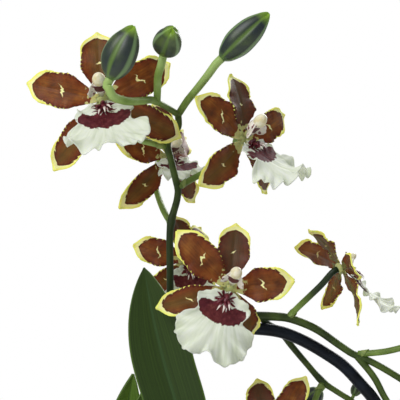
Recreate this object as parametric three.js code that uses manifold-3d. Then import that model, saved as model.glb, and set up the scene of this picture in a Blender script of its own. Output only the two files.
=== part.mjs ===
// A potted colmanara orchid: a glazed pot of bark chips, four pseudobulbs with strap leaves,
// a wire support hoop, and one branched flower spike with eight open blooms and nine buds.
// Millimetres, +Z up, the origin at the middle of the pot's base. The blooms' best side faces -Y.
import * as THREE from 'three';
import { mergeVertices } from 'three/addons/utils/BufferGeometryUtils.js';
import Module from 'manifold-3d';

// Driving dimensions
const POT_HEIGHT = 124;
const POT_RIM_RADIUS = 70;
const POT_BASE_RADIUS = 50;
const POT_WALL = 5;
const BARK_TOP = 108;
const CHIP_LENGTH = 28;
const HOOP_TUBE_RADIUS = 3.1;
const SPIKE_RADIUS = 2.5;
const BRANCH_RADIUS = 1.8;
const PEDICEL_RADIUS = 1.4;
const BULB = { halfWidth: 18, halfDepth: 10.5, height: 76 };
const LEAF_THICKNESS = 1.2;
const TEPAL_THICKNESS = 0.8;
const LIP_LENGTH = 37;
const COLUMN_LENGTH = 14;
const DISC_FRONT = 0.8;
const DISC_BACK = 2.6;
const GAP = 0.35;
const HOLE_CLEARANCE = 1.2;
const LEAF_HOLE_RADIUS = 9;
const HOLE_LENGTH = 60;
const LEAF_FOOT_SHARE = 0.34;
const CHIP_COUNT = 22;
const SMOOTHING = 0.1;
const GOLDEN_TURN = 2.39996;

const wasm = await Module();
wasm.setup();

const degrees = THREE.MathUtils.degToRad;
const vector = (place) => new THREE.Vector3(...place);

// Colours of the real surfaces
const finish = (color, roughness) => new THREE.MeshStandardMaterial({ color, roughness, metalness: 0 });
const FINISH = {
  pot: () => finish('#e9e5dc', 0.25),
  bark: () => finish('#5b3a24', 0.95),
  hoop: () => finish('#0d141c', 0.35),
  bulb: () => finish('#5f7f35', 0.45),
  leaf: () => finish('#26401f', 0.4),
  stem: () => finish('#3c5a1e', 0.5),
  tepal: () => finish('#6f3c1c', 0.5),
  lip: () => finish('#e6eadc', 0.6),
  column: () => finish('#f0ead0', 0.5),
  bud: () => finish('#2c3f2a', 0.5),
};

// A closed mesh with shared vertices, without collapsed triangles, its faces pointing out
function closed(geometry) {
  geometry.deleteAttribute('normal');
  geometry.deleteAttribute('uv');
  const merged = mergeVertices(geometry, 1e-4);
  const source = merged.index.array;
  const corners = [];
  for (let i = 0; i < source.length; i += 3) {
    const [a, b, c] = [source[i], source[i + 1], source[i + 2]];
    if (a !== b && b !== c && c !== a) corners.push(a, b, c);
  }
  const position = merged.getAttribute('position');
  const point = (i) => new THREE.Vector3().fromBufferAttribute(position, i);
  let volume = 0;
  for (let i = 0; i < corners.length; i += 3) {
    volume += point(corners[i]).dot(point(corners[i + 1]).cross(point(corners[i + 2])));
  }
  if (volume < 0) corners.reverse();
  merged.setIndex(corners);
  return merged;
}

function toSolid(geometry) {
  const vertProperties = new Float32Array(geometry.getAttribute('position').array);
  const triVerts = new Uint32Array(geometry.index.array);
  return new wasm.Manifold(new wasm.Mesh({ numProp: 3, vertProperties, triVerts }));
}

// The largest body alone, so that a loose scrap or a sealed hollow left by a join is dropped
function toGeometry(solid) {
  const bodies = solid.decompose().sort((a, b) => b.volume() - a.volume());
  const mesh = bodies[0].getMesh();
  const geometry = new THREE.BufferGeometry();
  geometry.setAttribute('position', new THREE.BufferAttribute(new Float32Array(mesh.vertProperties), 3));
  geometry.setIndex(new THREE.BufferAttribute(new Uint32Array(mesh.triVerts), 1));
  return geometry;
}

const fuse = (geometries) => {
  const whole = geometries.map(toSolid).reduce((joined, next) => joined.add(next));
  return toGeometry(whole.simplify(SMOOTHING));
};
const cut = (geometry, tools) => {
  const rest = tools.map(toSolid).reduce((whole, tool) => whole.subtract(tool), toSolid(geometry));
  return toGeometry(rest.simplify(SMOOTHING));
};

function node(name, geometry, material) {
  const mesh = new THREE.Mesh(geometry, material);
  mesh.name = name;
  return mesh;
}

// A flat geometry carried onto a curved sheet and given a thickness, both faces split into the same
// triangles. place(x, y) gives the sheet's point and the direction of its thickness there.
function thicken(flat, place, thickness) {
  const base = closed(flat);
  const position = base.getAttribute('position');
  const front = [];
  const back = [];
  for (let i = 0; i < position.count; i += 1) {
    const { point, out } = place(position.getX(i), position.getY(i));
    front.push(...point.clone().addScaledVector(out, thickness / 2).toArray());
    back.push(...point.clone().addScaledVector(out, -thickness / 2).toArray());
  }
  const face = Array.from(base.index.array);
  const edges = new Map();
  for (let i = 0; i < face.length; i += 3) {
    for (let k = 0; k < 3; k += 1) edges.set(`${face[i + k]} ${face[i + ((k + 1) % 3)]}`, true);
  }
  const corners = [...face];
  for (let i = 0; i < face.length; i += 3) {
    corners.push(face[i + 2] + position.count, face[i + 1] + position.count, face[i] + position.count);
  }
  for (const edge of edges.keys()) {
    const [a, b] = edge.split(' ').map(Number);
    if (edges.has(`${b} ${a}`)) continue;
    corners.push(b, a, a + position.count, b, a + position.count, b + position.count);
  }
  const solid = new THREE.BufferGeometry();
  solid.setAttribute('position', new THREE.Float32BufferAttribute([...front, ...back], 3));
  solid.setIndex(corners);
  return closed(solid);
}

// A round stem: a cylinder bent along a smooth route, its radius easing from one end to the other
function stem(route, startRadius, endRadius, stepLength = 12, sides = 6) {
  const curve = new THREE.CatmullRomCurve3(route.map(vector), false, 'centripetal');
  const steps = Math.max(2, Math.round(curve.getLength() / stepLength));
  const frames = curve.computeFrenetFrames(steps);
  const geometry = new THREE.CylinderGeometry(1, 1, 1, sides, steps);
  const position = geometry.getAttribute('position');
  for (let i = 0; i < position.count; i += 1) {
    const step = Math.round((position.getY(i) + 0.5) * steps);
    const along = step / steps;
    const radius = THREE.MathUtils.lerp(startRadius, endRadius, along);
    const point = curve.getPointAt(along)
      .addScaledVector(frames.normals[step], position.getX(i) * radius)
      .addScaledVector(frames.binormals[step], position.getZ(i) * radius);
    position.setXYZ(i, ...point.toArray());
  }
  return closed(geometry);
}

// A body turned about +Y from a profile of [radius, height] points
const turned = (profile, sides, radiusScale = 1, heightScale = 1) => {
  const points = profile.map(([radius, height]) => [radius * radiusScale, height * heightScale]);
  return new THREE.LatheGeometry(points.map((point) => new THREE.Vector2(...point)), sides);
};

// Turns a geometry built along +Y so that it runs from one place towards another
function aim(geometry, from, to) {
  const direction = vector(to).sub(vector(from)).normalize();
  geometry.applyQuaternion(new THREE.Quaternion().setFromUnitVectors(new THREE.Vector3(0, 1, 0), direction));
  geometry.translate(...from);
  return geometry;
}

// The swollen ring at a node of the stem, and the small pointed bract that wraps it
const ring = (place, towards, radius) => {
  const swelling = new THREE.CylinderGeometry(radius * 0.98, radius * 1.22, radius * 1.5, 6);
  return closed(aim(swelling, place, towards));
};
const bract = (place, towards, radius, length) => {
  const cone = new THREE.ConeGeometry(radius, length, 5);
  cone.translate(0, length / 2 - radius * 0.4, 0);
  return closed(aim(cone, place, towards));
};

// Pot: one turned and glazed cup with a rolled rim and a small foot
function potGeometry() {
  const wallTop = POT_RIM_RADIUS - POT_WALL;
  const profile = [
    [0, 0], [POT_BASE_RADIUS - 2, 0], [POT_BASE_RADIUS, 2], [POT_BASE_RADIUS + 1, 12],
    [POT_RIM_RADIUS - 6, POT_HEIGHT - 16], [POT_RIM_RADIUS - 1, POT_HEIGHT - 13],
    [POT_RIM_RADIUS, POT_HEIGHT - 3], [POT_RIM_RADIUS - 2, POT_HEIGHT], [wallTop, POT_HEIGHT - 1],
    [wallTop - 4, POT_HEIGHT - 16], [POT_BASE_RADIUS - POT_WALL, 9],
    [POT_BASE_RADIUS - POT_WALL - 4, 7], [0, 7],
  ];
  const lathe = turned(profile, 32);
  lathe.rotateX(Math.PI / 2);
  return closed(lathe);
}

// Pseudobulb: a flattened, slightly ribbed, egg-shaped stem base that narrows towards its top
const BULBS = [
  { name: 'pseudobulb_front', at: [-22, -12], turn: 8, size: 1 },
  { name: 'pseudobulb_right', at: [19, -6], turn: -12, size: 0.96 },
  { name: 'pseudobulb_back_left', at: [-13, 31], turn: 14, size: 0.9 },
  { name: 'pseudobulb_back_right', at: [27, 28], turn: -6, size: 0.86 },
];
const BULB_FOOT = BARK_TOP - 7;

function bulbGeometry({ at, turn, size }, extra = 0) {
  const geometry = new THREE.SphereGeometry(1, 12, 8);
  geometry.rotateX(Math.PI / 2);
  const position = geometry.getAttribute('position');
  for (let i = 0; i < position.count; i += 1) {
    const height = position.getZ(i);
    const rib = 1 + 0.04 * Math.cos(6 * Math.atan2(position.getY(i), position.getX(i)));
    const narrowing = (1 - 0.26 * height) * rib;
    const x = position.getX(i) * (BULB.halfWidth * size * narrowing + extra);
    const y = position.getY(i) * (BULB.halfDepth * size * narrowing + extra);
    position.setXYZ(i, x, y, height * ((BULB.height / 2) * size + extra));
  }
  geometry.rotateZ(degrees(turn));
  geometry.translate(at[0], at[1], BULB_FOOT + (BULB.height / 2) * size);
  return closed(geometry);
}

// Hoop: round black wire whose legs stand in the bark, bent over tightly at the left and widely at the right
const HOOP_ROUTE = [
  [-43, 12, 92], [-42, 12, 140], [-38, 12, 210], [-34, 12, 275], [-32.6, 12, 323.8], [-32.1, 12, 341.5],
  [-29.1, 12, 350.6], [-22.5, 12, 356.7], [-13.9, 12, 359.2], [-4.8, 12, 360], [6.4, 12, 359.7],
  [17, 12, 358.2], [27.1, 12, 354.4], [39.2, 12, 347.6], [48.9, 12, 340.8], [57.5, 12, 331.6],
  [64, 12, 323.8], [72, 12, 308], [77, 12, 286], [78, 12, 262], [75, 12, 220], [68, 12, 170],
  [57.5, 12, 132], [51, 12, 112], [51, 12, 92],
];

// Spike: it stands beside the hoop's left leg, rides over the top of the hoop and forks at the right
const SPIKE_ROUTE = [
  [-49.5, 12, 94], [-48.6, 12, 140], [-44.6, 12, 210], [-40.5, 12, 275], [-39, 12, 323.8], [-39.2, 12, 339],
  [-38.2, 12, 351.6], [-33.6, 12, 360.2], [-25.5, 12, 364.8], [-11.3, 12, 366.3], [3.8, 12, 366.3],
  [14.5, 12, 366], [21, 12, 365.2], [34.2, 12, 360], [46.8, 12, 351.4], [53.4, 12, 347.1], [62, 12, 343.5],
  [71.1, 12, 338.5], [84, 14, 330], [98, 16, 318], [108, 24, 304], [114, 30, 290],
];
const UPRIGHT_ROUTE = [
  [-38.6, 12, 349], [-39.4, 11, 365.4], [-39.1, 10, 378.5], [-39.1, 9, 391.2], [-39.1, 8, 408.9],
  [-38.1, 8, 415.9], [-35.6, 8, 425], [-35.1, 8, 430], [-36.1, 8, 434.6], [-38.6, 7, 445.1],
  [-40.6, 7, 453.6], [-38.5, 6.5, 457.6], [-35, 6, 461.6], [-35, 5, 468.6],
];
const BEHIND_HOOP_ROUTE = [
  [7, 12.5, 365.5], [10.5, 17, 362], [16.8, 21, 358.1], [22.5, 22, 350.9], [30.2, 22, 341.7], [38.9, 22, 332],
  [45.5, 22, 327.4], [52.7, 22, 322.8], [59.6, 26, 317], [64, 30, 309], [67, 33, 300],
];
const RIGHT_BRANCH_ROUTE = [
  [55, 12, 346.5], [64.1, 13, 335.3], [69.3, 14, 325.6], [76, 17, 315], [84, 20, 304], [90, 21, 292],
];
const BUD_FORK_ROUTE = [[-35, 5, 467.8], [-39.9, -2, 470.9], [-45.2, -12, 473.4]];

// Blooms: where each faces, how its lip leans, and its five tepals, clockwise from the top as seen from
// its front. A tepal is [angle from straight up, length, width, forward lean], in degrees and millimetres.
const TYPICAL_TEPALS = [
  [0, 34, 16.5, -6], [63, 36, 17, 2], [130, 38, 13.5, -12], [-130, 38, 13.5, -12], [-63, 36, 17, 2],
];
const BLOOMS = [
  { name: 'bloom_a', at: [-71.5, -20, 474], yaw: 0, pitch: 0, roll: -9, size: 1.08, lipLean: 56,
    tepals: [[-3, 35, 17.5, -12], [60, 40, 18, -15], [115, 47, 15.5, -22],
      [-144, 44, 15, -10], [-77, 40, 18, -8]],
    stalk: [[-41.1, 6, 452.1], [-48.1, 4, 453.6], [-56, 1, 456], [-63, -3, 464]] },
  { name: 'bloom_b', at: [-2.5, 0, 455], yaw: 50, pitch: 0, roll: -10, size: 0.98, lipLean: 55,
    tepals: [[0, 34, 15, -8], [65, 32, 16, 12], [134, 39, 13, -5],
      [-134, 34, 14, -10], [-53, 35, 17, -8]],
    stalk: [[-34.8, 8, 431.5], [-29, 10, 434.6], [-24, 13, 437.6], [-17, 16, 444]] },
  { name: 'bloom_c', at: [-41, 45, 447], yaw: 35, pitch: 0, roll: -4, size: 0.92, lipLean: 62,
    tepals: [[-5, 31, 15, -10], [65, 33, 15, -30], [135, 34, 12.5, -10],
      [-128, 41, 14, -8], [-82, 32, 15.5, 0]],
    stalk: [[-39.1, 8, 413.9], [-42.8, 22, 420], [-46.4, 42, 429], [-49, 54, 438]] },
  { name: 'bloom_d', at: [-9.4, -25, 382.1], yaw: 0, pitch: 0, roll: 20, size: 1, lipLean: 12,
    tepals: [[6, 34, 16.5, -18], [83, 32, 17, 17], [154, 34, 13.5, -33],
      [-106, 39, 13.5, -10], [-43, 38, 17.5, 6]],
    stalk: [[-9.8, 12, 366.3], [-8.6, 4, 371.8], [-8, -4, 376.9]] },
  { name: 'bloom_e', at: [-30.7, 30, 393.5], yaw: 20, pitch: 0, roll: -4, size: 0.8, lipLean: 20,
    tepals: [[-4, 28, 13, -28], [38, 27, 13, -32], [140, 28, 12, -14],
      [-133, 27, 12, -18], [-72, 29, 14.5, -18]],
    stalk: [[-35.5, 12, 357.5], [-33.5, 23, 356.5], [-34, 35, 361], [-36, 42, 372]] },
  { name: 'bloom_f', at: [46.6, 4, 390.9], yaw: 112, pitch: 24, roll: 0, size: 0.94, lipLean: 34,
    tepals: [[16, 27, 12.5, -8], [62, 31, 15, -10], [132, 31, 13, -12],
      [-136, 36, 13, -16], [-70, 27, 16, -6]],
    stalk: [[20.5, 12, 365.4], [26.4, 9.5, 373], [32.3, 5, 378.2]] },
  { name: 'bloom_g', at: [11.4, -4, 306], yaw: -15, pitch: 8, roll: -12, size: 1, lipLean: 25,
    tepals: [[-18, 32, 15, -6], [24, 37, 14, -14], [98, 37, 13.5, -8],
      [-148, 37, 13.5, -8], [-80, 36, 16, -4]],
    stalk: [[38.9, 22, 332], [36, 20, 326.6], [33, 16, 320], [26, 11, 311]] },
  { name: 'bloom_h', at: [112, -4, 376], yaw: 50, pitch: 4, roll: 6, size: 0.98, lipLean: 32,
    tepals: TYPICAL_TEPALS,
    stalk: [[56, 12, 347.2], [61.8, 10.5, 347.6], [70.8, 8, 348.9], [81.4, 6, 352.2], [92, 5, 359],
      [99, 5, 368]] },
];

// Buds: from the seat on the stalk to the tip, with the widest radius
const BUDS = [
  { name: 'bud_1', from: [-67.1, -43, 482.9], to: [-55.4, -48, 507.8], radius: 8.4,
    stalk: [[-45.2, -12, 473.4], [-50.5, -24, 475], [-56.1, -33, 475.7], [-62.1, -40, 476],
      [-66.9, -43, 478]] },
  { name: 'bud_2', from: [-41.4, -24, 496.9], to: [-37.2, -42, 507], radius: 7,
    stalk: [[-45.2, -12, 473.4], [-44.9, -17, 479.7], [-44.6, -20, 485.5], [-43.1, -21.5, 490.7]] },
  { name: 'bud_3', from: [-13.5, -1, 495.4], to: [10.3, -6, 517.9], radius: 7.2,
    stalk: [[-35, 5, 467.8], [-30.5, 3, 474.6], [-25.5, 1.5, 480.6], [-20, 0, 487.5]] },
  { name: 'bud_4', from: [37.6, 26, 327.8], to: [28, 34, 315.5], radius: 5.6,
    stalk: [[38.9, 22, 332.2], [38.9, 24, 330]] },
  { name: 'bud_5', from: [54.6, 25, 324.6], to: [58.6, 28, 332.4], radius: 3,
    stalk: [[52.4, 22, 322.8], [53.4, 23.6, 323.4]] },
  { name: 'bud_6', from: [90.8, 21.1, 290], to: [95, 20, 266], radius: 6.4,
    stalk: [[84, 20, 304], [88.6, 21, 296]] },
  { name: 'bud_7', from: [114.6, 30.7, 288], to: [118, 34, 266], radius: 5.4,
    stalk: [[108, 24, 304], [112.6, 28.4, 294]] },
  { name: 'bud_8', from: [67.6, 33.6, 298], to: [72, 37, 278], radius: 5.4,
    stalk: [[64, 30, 309], [66.3, 32.4, 302.4]] },
  { name: 'bud_9', from: [117, 10, 317], to: [138, 4, 306], radius: 6.8,
    stalk: [[98, 16, 318], [106, 14, 320]] },
];

// Leaves: middle line from foot to tip, the blade's sideways direction, and half its width
const LEAVES = [
  { name: 'leaf_front_tall', side: [1, -0.1, 0], halfWidth: 15.2,
    route: [[-23, -11, 177.4], [-24.5, -9, 215], [-28, -6.5, 270], [-35, -6, 320], [-41.4, -6, 343],
      [-47.5, -6, 368], [-51.8, -6, 391.4]] },
  { name: 'leaf_left_bright', side: [1, 0.2, 0.1], halfWidth: 12,
    route: [[-44, 30, 102], [-50, 30, 160], [-58, 29, 220], [-63, 26, 280], [-61.8, 23, 315],
      [-58.2, 20, 336.3]] },
  { name: 'leaf_left_tall', side: [1, -0.15, 0], halfWidth: 11,
    route: [[-46, -6, 102], [-54, -4, 150], [-57, -1, 215], [-56, 1.5, 280], [-53, 2.5, 328.5]] },
  { name: 'leaf_front_right', side: [0.8, 0.6, 0], halfWidth: 13,
    route: [[0.5, -21, 102], [4, -27, 128], [10, -38, 155], [25, -60, 200], [46, -84, 224],
      [74, -112, 214]] },
  { name: 'leaf_right_long', side: [0.2, 1, 0], halfWidth: 14,
    route: [[19, -6, 174.6], [27, -10, 205], [48, -16, 246], [84, -26, 268], [124, -38, 250]] },
  { name: 'leaf_right_low', side: [0.5, 1, 0], halfWidth: 12.5,
    route: [[41, -14, 102], [52, -22, 145], [74, -40, 186], [100, -60, 200], [126, -80, 184]] },
  { name: 'leaf_back_left', side: [0.8, 0.55, 0], halfWidth: 13.5,
    route: [[-13, 31, 170.1], [-19, 46, 205], [-34, 72, 244], [-56, 102, 262], [-82, 132, 246]] },
  { name: 'leaf_back_right', side: [0.8, -0.6, 0], halfWidth: 13,
    route: [[27, 28, 167], [33, 42, 200], [50, 68, 240], [76, 98, 258], [104, 126, 238]] },
  { name: 'leaf_back_low', side: [1, 0, 0], halfWidth: 12,
    route: [[7, 48, 102], [8, 62, 150], [8, 88, 192], [6, 118, 206], [2, 148, 188]] },
  { name: 'leaf_front_left', side: [0.55, -0.8, 0], halfWidth: 12.5,
    route: [[-43, -26, 102], [-54, -34, 148], [-78, -50, 192], [-106, -68, 208], [-134, -86, 192]] },
];

// Strap leaf: widest past its middle, an acute tip, folded in a shallow V along its midrib
function leafGeometry({ route, side, halfWidth }) {
  const curve = new THREE.CatmullRomCurve3(route.map(vector), false, 'centripetal');
  const sideways = vector(side).normalize();
  const shoulder = 0.78;
  const place = (x, y) => {
    const along = 1 - (1 - (y + 0.5)) ** 1.3;
    const across = x * 2;
    const past = Math.max(0, (along - shoulder) / (1 - shoulder));
    const widening = Math.sin(Math.min(1, along / 0.62) * Math.PI / 2);
    const narrowing = Math.max(0.05, (1 - past ** 2) ** 0.85);
    const width = halfWidth * (LEAF_FOOT_SHARE + (1 - LEAF_FOOT_SHARE) * widening) * narrowing;
    const tangent = curve.getTangentAt(along);
    const crosswise = sideways.clone().addScaledVector(tangent, -sideways.dot(tangent)).normalize();
    const out = crosswise.clone().cross(tangent);
    const fold = 0.28 * Math.abs(across) * width;
    const point = curve.getPointAt(along)
      .addScaledVector(crosswise, across * width)
      .addScaledVector(out, fold);
    return { point, out };
  };
  return thicken(new THREE.PlaneGeometry(1, 1, 2, 12), place, LEAF_THICKNESS);
}

// Bark mix: the body that fills the pot, chips standing out of its top, and plain holes for what stands in it
function seeded(seed) {
  let state = seed;
  return () => {
    state = (state * 16807) % 2147483647;
    return state / 2147483647;
  };
}

function barkGeometry() {
  const draw = seeded(4127);
  const floor = 10;
  const bottomRadius = POT_BASE_RADIUS - POT_WALL - 1.5;
  const topRadius = POT_RIM_RADIUS - POT_WALL - 5.2;
  const body = new THREE.CylinderGeometry(topRadius, bottomRadius, BARK_TOP - floor, 24);
  body.rotateX(Math.PI / 2);
  body.translate(0, 0, (BARK_TOP + floor) / 2);
  const pieces = [closed(body)];
  for (let i = 0; i < CHIP_COUNT; i += 1) {
    const length = CHIP_LENGTH * (0.7 + 0.5 * draw());
    const chip = new THREE.BoxGeometry(length, length * (0.45 + 0.25 * draw()), 6 + 3 * draw());
    chip.rotateX(degrees(36 * (draw() - 0.5)));
    chip.rotateY(degrees(36 * (draw() - 0.5)));
    chip.rotateZ(Math.PI * draw());
    const reach = (topRadius - CHIP_LENGTH * 0.62) * Math.sqrt((i + 0.5) / CHIP_COUNT);
    const turn = i * GOLDEN_TURN;
    chip.translate(reach * Math.cos(turn), reach * Math.sin(turn), BARK_TOP + 1.5 * draw());
    pieces.push(closed(chip));
  }
  const hole = ([x, y, bottom], radius) => {
    const drill = new THREE.CylinderGeometry(radius, radius, HOLE_LENGTH, 12);
    drill.rotateX(Math.PI / 2);
    drill.translate(x, y, bottom - GAP + HOLE_LENGTH / 2);
    return closed(drill);
  };
  const leafHole = (leaf) => {
    const blade = leafGeometry(leaf);
    blade.computeBoundingBox();
    const [x, y] = leaf.route[0];
    return hole([x, y, blade.boundingBox.min.z], LEAF_HOLE_RADIUS);
  };
  const legs = [HOOP_ROUTE[0], HOOP_ROUTE[HOOP_ROUTE.length - 1]];
  const holes = [
    ...BULBS.map((bulb) => bulbGeometry(bulb, GAP)),
    ...legs.map((foot) => hole(foot, HOOP_TUBE_RADIUS + HOLE_CLEARANCE)),
    ...LEAVES.filter(({ route }) => route[0][2] < BARK_TOP).map(leafHole),
    hole(SPIKE_ROUTE[0], SPIKE_RADIUS + HOLE_CLEARANCE),
  ];
  return cut(fuse(pieces), holes);
}

// A bloom's own frame: x to its right as seen from its front, y up its dorsal sepal, z the way it faces
function bloomFrame({ at, yaw, pitch }) {
  const frame = new THREE.Group();
  frame.position.set(...at);
  frame.rotateZ(degrees(yaw));
  frame.rotateX(degrees(90 - pitch));
  frame.updateMatrixWorld(true);
  return frame;
}

// One tepal: narrow at its foot, broadest past its middle, waved along its edge and bent back at its tip
function tepalGeometry([angle, length, width, lean], size) {
  const outward = new THREE.Vector3(Math.sin(degrees(angle)), Math.cos(degrees(angle)), 0);
  const sideways = new THREE.Vector3(outward.y, -outward.x, 0);
  const facing = new THREE.Vector3(0, 0, 1);
  const cosLean = Math.cos(degrees(lean));
  const sinLean = Math.sin(degrees(lean));
  const lengthwise = outward.clone().multiplyScalar(cosLean).addScaledVector(facing, sinLean);
  const out = facing.clone().multiplyScalar(cosLean).addScaledVector(outward, -sinLean);
  const rows = 5;
  const foot = 1.8 * size;
  const place = (x, y) => {
    const along = y + 0.5;
    const across = x * 2;
    const wave = Math.cos(Math.PI * rows * along);
    const outline = 0.14 + 0.86 * Math.sin(Math.PI * along ** 1.2) ** 0.85;
    const half = (width / 2) * outline * (1 + 0.05 * wave);
    const cup = 0.12 * across ** 2 * half + 0.055 * width * across ** 2 * wave * outline;
    const bow = 0.05 * length * Math.sin(Math.PI * along) - 0.1 * length * along ** 2.5;
    const point = lengthwise.clone().multiplyScalar(foot + (length - foot) * along)
      .addScaledVector(sideways, across * half)
      .addScaledVector(out, cup + bow);
    return { point, out };
  };
  return thicken(new THREE.PlaneGeometry(1, 1, 3, rows), place, TEPAL_THICKNESS);
}

// The five tepals of a bloom, joined at the small disc that ends its stalk
function tepalsGeometry({ tepals, size }) {
  const disc = new THREE.CylinderGeometry(2.7 * size, 2 * size, (DISC_FRONT + DISC_BACK) * size, 7);
  disc.rotateX(Math.PI / 2);
  disc.translate(0, 0, ((DISC_FRONT - DISC_BACK) / 2) * size);
  return fuse([closed(disc), ...tepals.map((tepal) => tepalGeometry(tepal, size))]);
}

// Lip: a claw with two small side lobes, a waist, a broad two-lobed fan with a frilled edge, and a raised
// callus. The half outline is [across, along] as shares of the lip's length.
const LIP_HALF_OUTLINE = [
  [0, 0.87], [0.12, 0.98], [0.27, 0.98], [0.42, 0.9], [0.53, 0.76], [0.575, 0.6], [0.53, 0.45],
  [0.33, 0.345], [0.39, 0.2], [0.27, 0.07], [0.1, 0.02],
];

function lipGeometry({ size, roll, lipLean }) {
  const length = LIP_LENGTH * size;
  const mirrored = LIP_HALF_OUTLINE.slice(1).reverse().map(([across, along]) => [-across, along]);
  const outline = [...LIP_HALF_OUTLINE, [0, 0], ...mirrored];
  const rim = outline.map(([across, along]) => new THREE.Vector3(across, along, 0));
  const middle = new THREE.Vector3(0, 0.46, 0);
  const down = new THREE.Vector3(0, -Math.cos(degrees(lipLean)), Math.sin(degrees(lipLean)));
  const out = new THREE.Vector3(0, Math.sin(degrees(lipLean)), Math.cos(degrees(lipLean)));
  const seat = DISC_FRONT * size + GAP + TEPAL_THICKNESS * Math.cos(degrees(lipLean));
  const base = new THREE.Vector3(0, -0.9 * size, seat);
  const place = (x, y) => {
    const reach = Math.hypot(x, y);
    const sector = Math.round((Math.atan2(y, x) / (2 * Math.PI) + 1) * rim.length) % rim.length;
    const edge = rim[sector].clone().sub(middle);
    const frill = sector % 2 === 0 ? 1 : -1;
    const spot = middle.clone().addScaledVector(edge, reach * (1 + 0.025 * frill * reach));
    const fan = THREE.MathUtils.smoothstep(spot.y, 0.3, 0.6);
    const ruffle = 0.035 * frill * reach ** 3 * (0.35 + 0.65 * fan);
    const droop = fan * (0.4 * spot.x ** 2 + 0.05 * spot.y ** 2);
    const raisedLobes = 0.12 * (1 - fan) * Math.abs(spot.x);
    const point = base.clone()
      .addScaledVector(new THREE.Vector3(1, 0, 0), spot.x * length)
      .addScaledVector(down, spot.y * length)
      .addScaledVector(out, length * (ruffle - droop + raisedLobes));
    return { point, out };
  };
  const blade = thicken(new THREE.RingGeometry(0, 1, rim.length, 2), place, TEPAL_THICKNESS);
  const callus = new THREE.OctahedronGeometry(1);
  const callusPlace = base.clone().addScaledVector(down, 6.6 * size).addScaledVector(out, 0.8 * size);
  callus.scale(3.4 * size, 4.4 * size, 3 * size);
  callus.rotateX(-degrees(lipLean));
  callus.translate(...callusPlace.toArray());
  const lip = fuse([blade, closed(callus)]);
  lip.rotateZ(-degrees(roll));
  return lip;
}

// Column: the short arched stalk above the lip, widening to its wings and ending in the round anther cap
function columnGeometry({ size, roll }) {
  const profile = [
    [0, 0], [0.115, 0], [0.14, 0.22], [0.22, 0.5], [0.18, 0.7], [0.215, 0.84], [0.13, 0.97], [0, 1],
  ];
  const length = COLUMN_LENGTH * size;
  const tilt = 40;
  const footRadius = profile[1][0] * length;
  const column = turned(profile, 7, length, length);
  column.rotateX(degrees(tilt));
  column.translate(0, 1.4 * size, DISC_FRONT * size + GAP + footRadius * Math.cos(degrees(tilt)));
  column.rotateZ(-degrees(roll));
  return closed(column);
}

// Bud: three closed tepals, so its section is a soft three-cornered round that draws in to a point
function budGeometry({ from, to, radius }) {
  const length = vector(to).distanceTo(vector(from));
  const profile = [[0, 0], [0.24, 0], [0.66, 0.12], [0.98, 0.36], [0.92, 0.62], [0.5, 0.88], [0, 1]];
  const bud = turned(profile, 9, radius, length);
  const position = bud.getAttribute('position');
  for (let i = 0; i < position.count; i += 1) {
    const keel = 1 + 0.06 * Math.cos(3 * Math.atan2(position.getZ(i), position.getX(i)));
    position.setXYZ(i, position.getX(i) * keel, position.getY(i), position.getZ(i) * keel);
  }
  return closed(aim(bud, from, to));
}

// The whole branched spike in one grown piece: main stem, branches, stalks, rings and bracts
function spikeGeometry() {
  const pieces = [
    stem(SPIKE_ROUTE, SPIKE_RADIUS * 1.15, BRANCH_RADIUS * 0.85, 13),
    stem(UPRIGHT_ROUTE, BRANCH_RADIUS * 1.05, BRANCH_RADIUS * 0.95, 8.5),
    stem(BEHIND_HOOP_ROUTE, BRANCH_RADIUS, BRANCH_RADIUS * 0.75, 10),
    stem(RIGHT_BRANCH_ROUTE, BRANCH_RADIUS, BRANCH_RADIUS * 0.8, 10),
    stem(BUD_FORK_ROUTE, BRANCH_RADIUS * 0.9, BRANCH_RADIUS * 0.85, 7),
  ];
  for (const bloom of BLOOMS) {
    const frame = bloomFrame(bloom);
    const behind = (distance) => frame.localToWorld(new THREE.Vector3(0, 0, -distance)).toArray();
    const seat = DISC_BACK * bloom.size + GAP;
    const route = [...bloom.stalk, behind(seat + 8), behind(seat)];
    pieces.push(stem(route, PEDICEL_RADIUS, PEDICEL_RADIUS * 1.25, 8.5, 5));
    pieces.push(bract(bloom.stalk[0], bloom.stalk[1], BRANCH_RADIUS * 1.25, 7));
  }
  for (const bud of BUDS) {
    const away = vector(bud.to).sub(vector(bud.from)).normalize();
    const behind = (distance) => vector(bud.from).addScaledVector(away, -distance).toArray();
    const thick = Math.min(PEDICEL_RADIUS * 1.1, bud.radius * 0.3);
    const route = [...bud.stalk, behind(GAP + bud.radius * 0.4), behind(GAP)];
    pieces.push(stem(route, PEDICEL_RADIUS, thick, 8, 5));
  }
  for (const i of [3, 10, 15]) pieces.push(ring(SPIKE_ROUTE[i], SPIKE_ROUTE[i + 1], SPIKE_RADIUS));
  for (const i of [1, 4, 6, 10]) pieces.push(ring(UPRIGHT_ROUTE[i], UPRIGHT_ROUTE[i + 1], BRANCH_RADIUS));
  return fuse(pieces);
}

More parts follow.
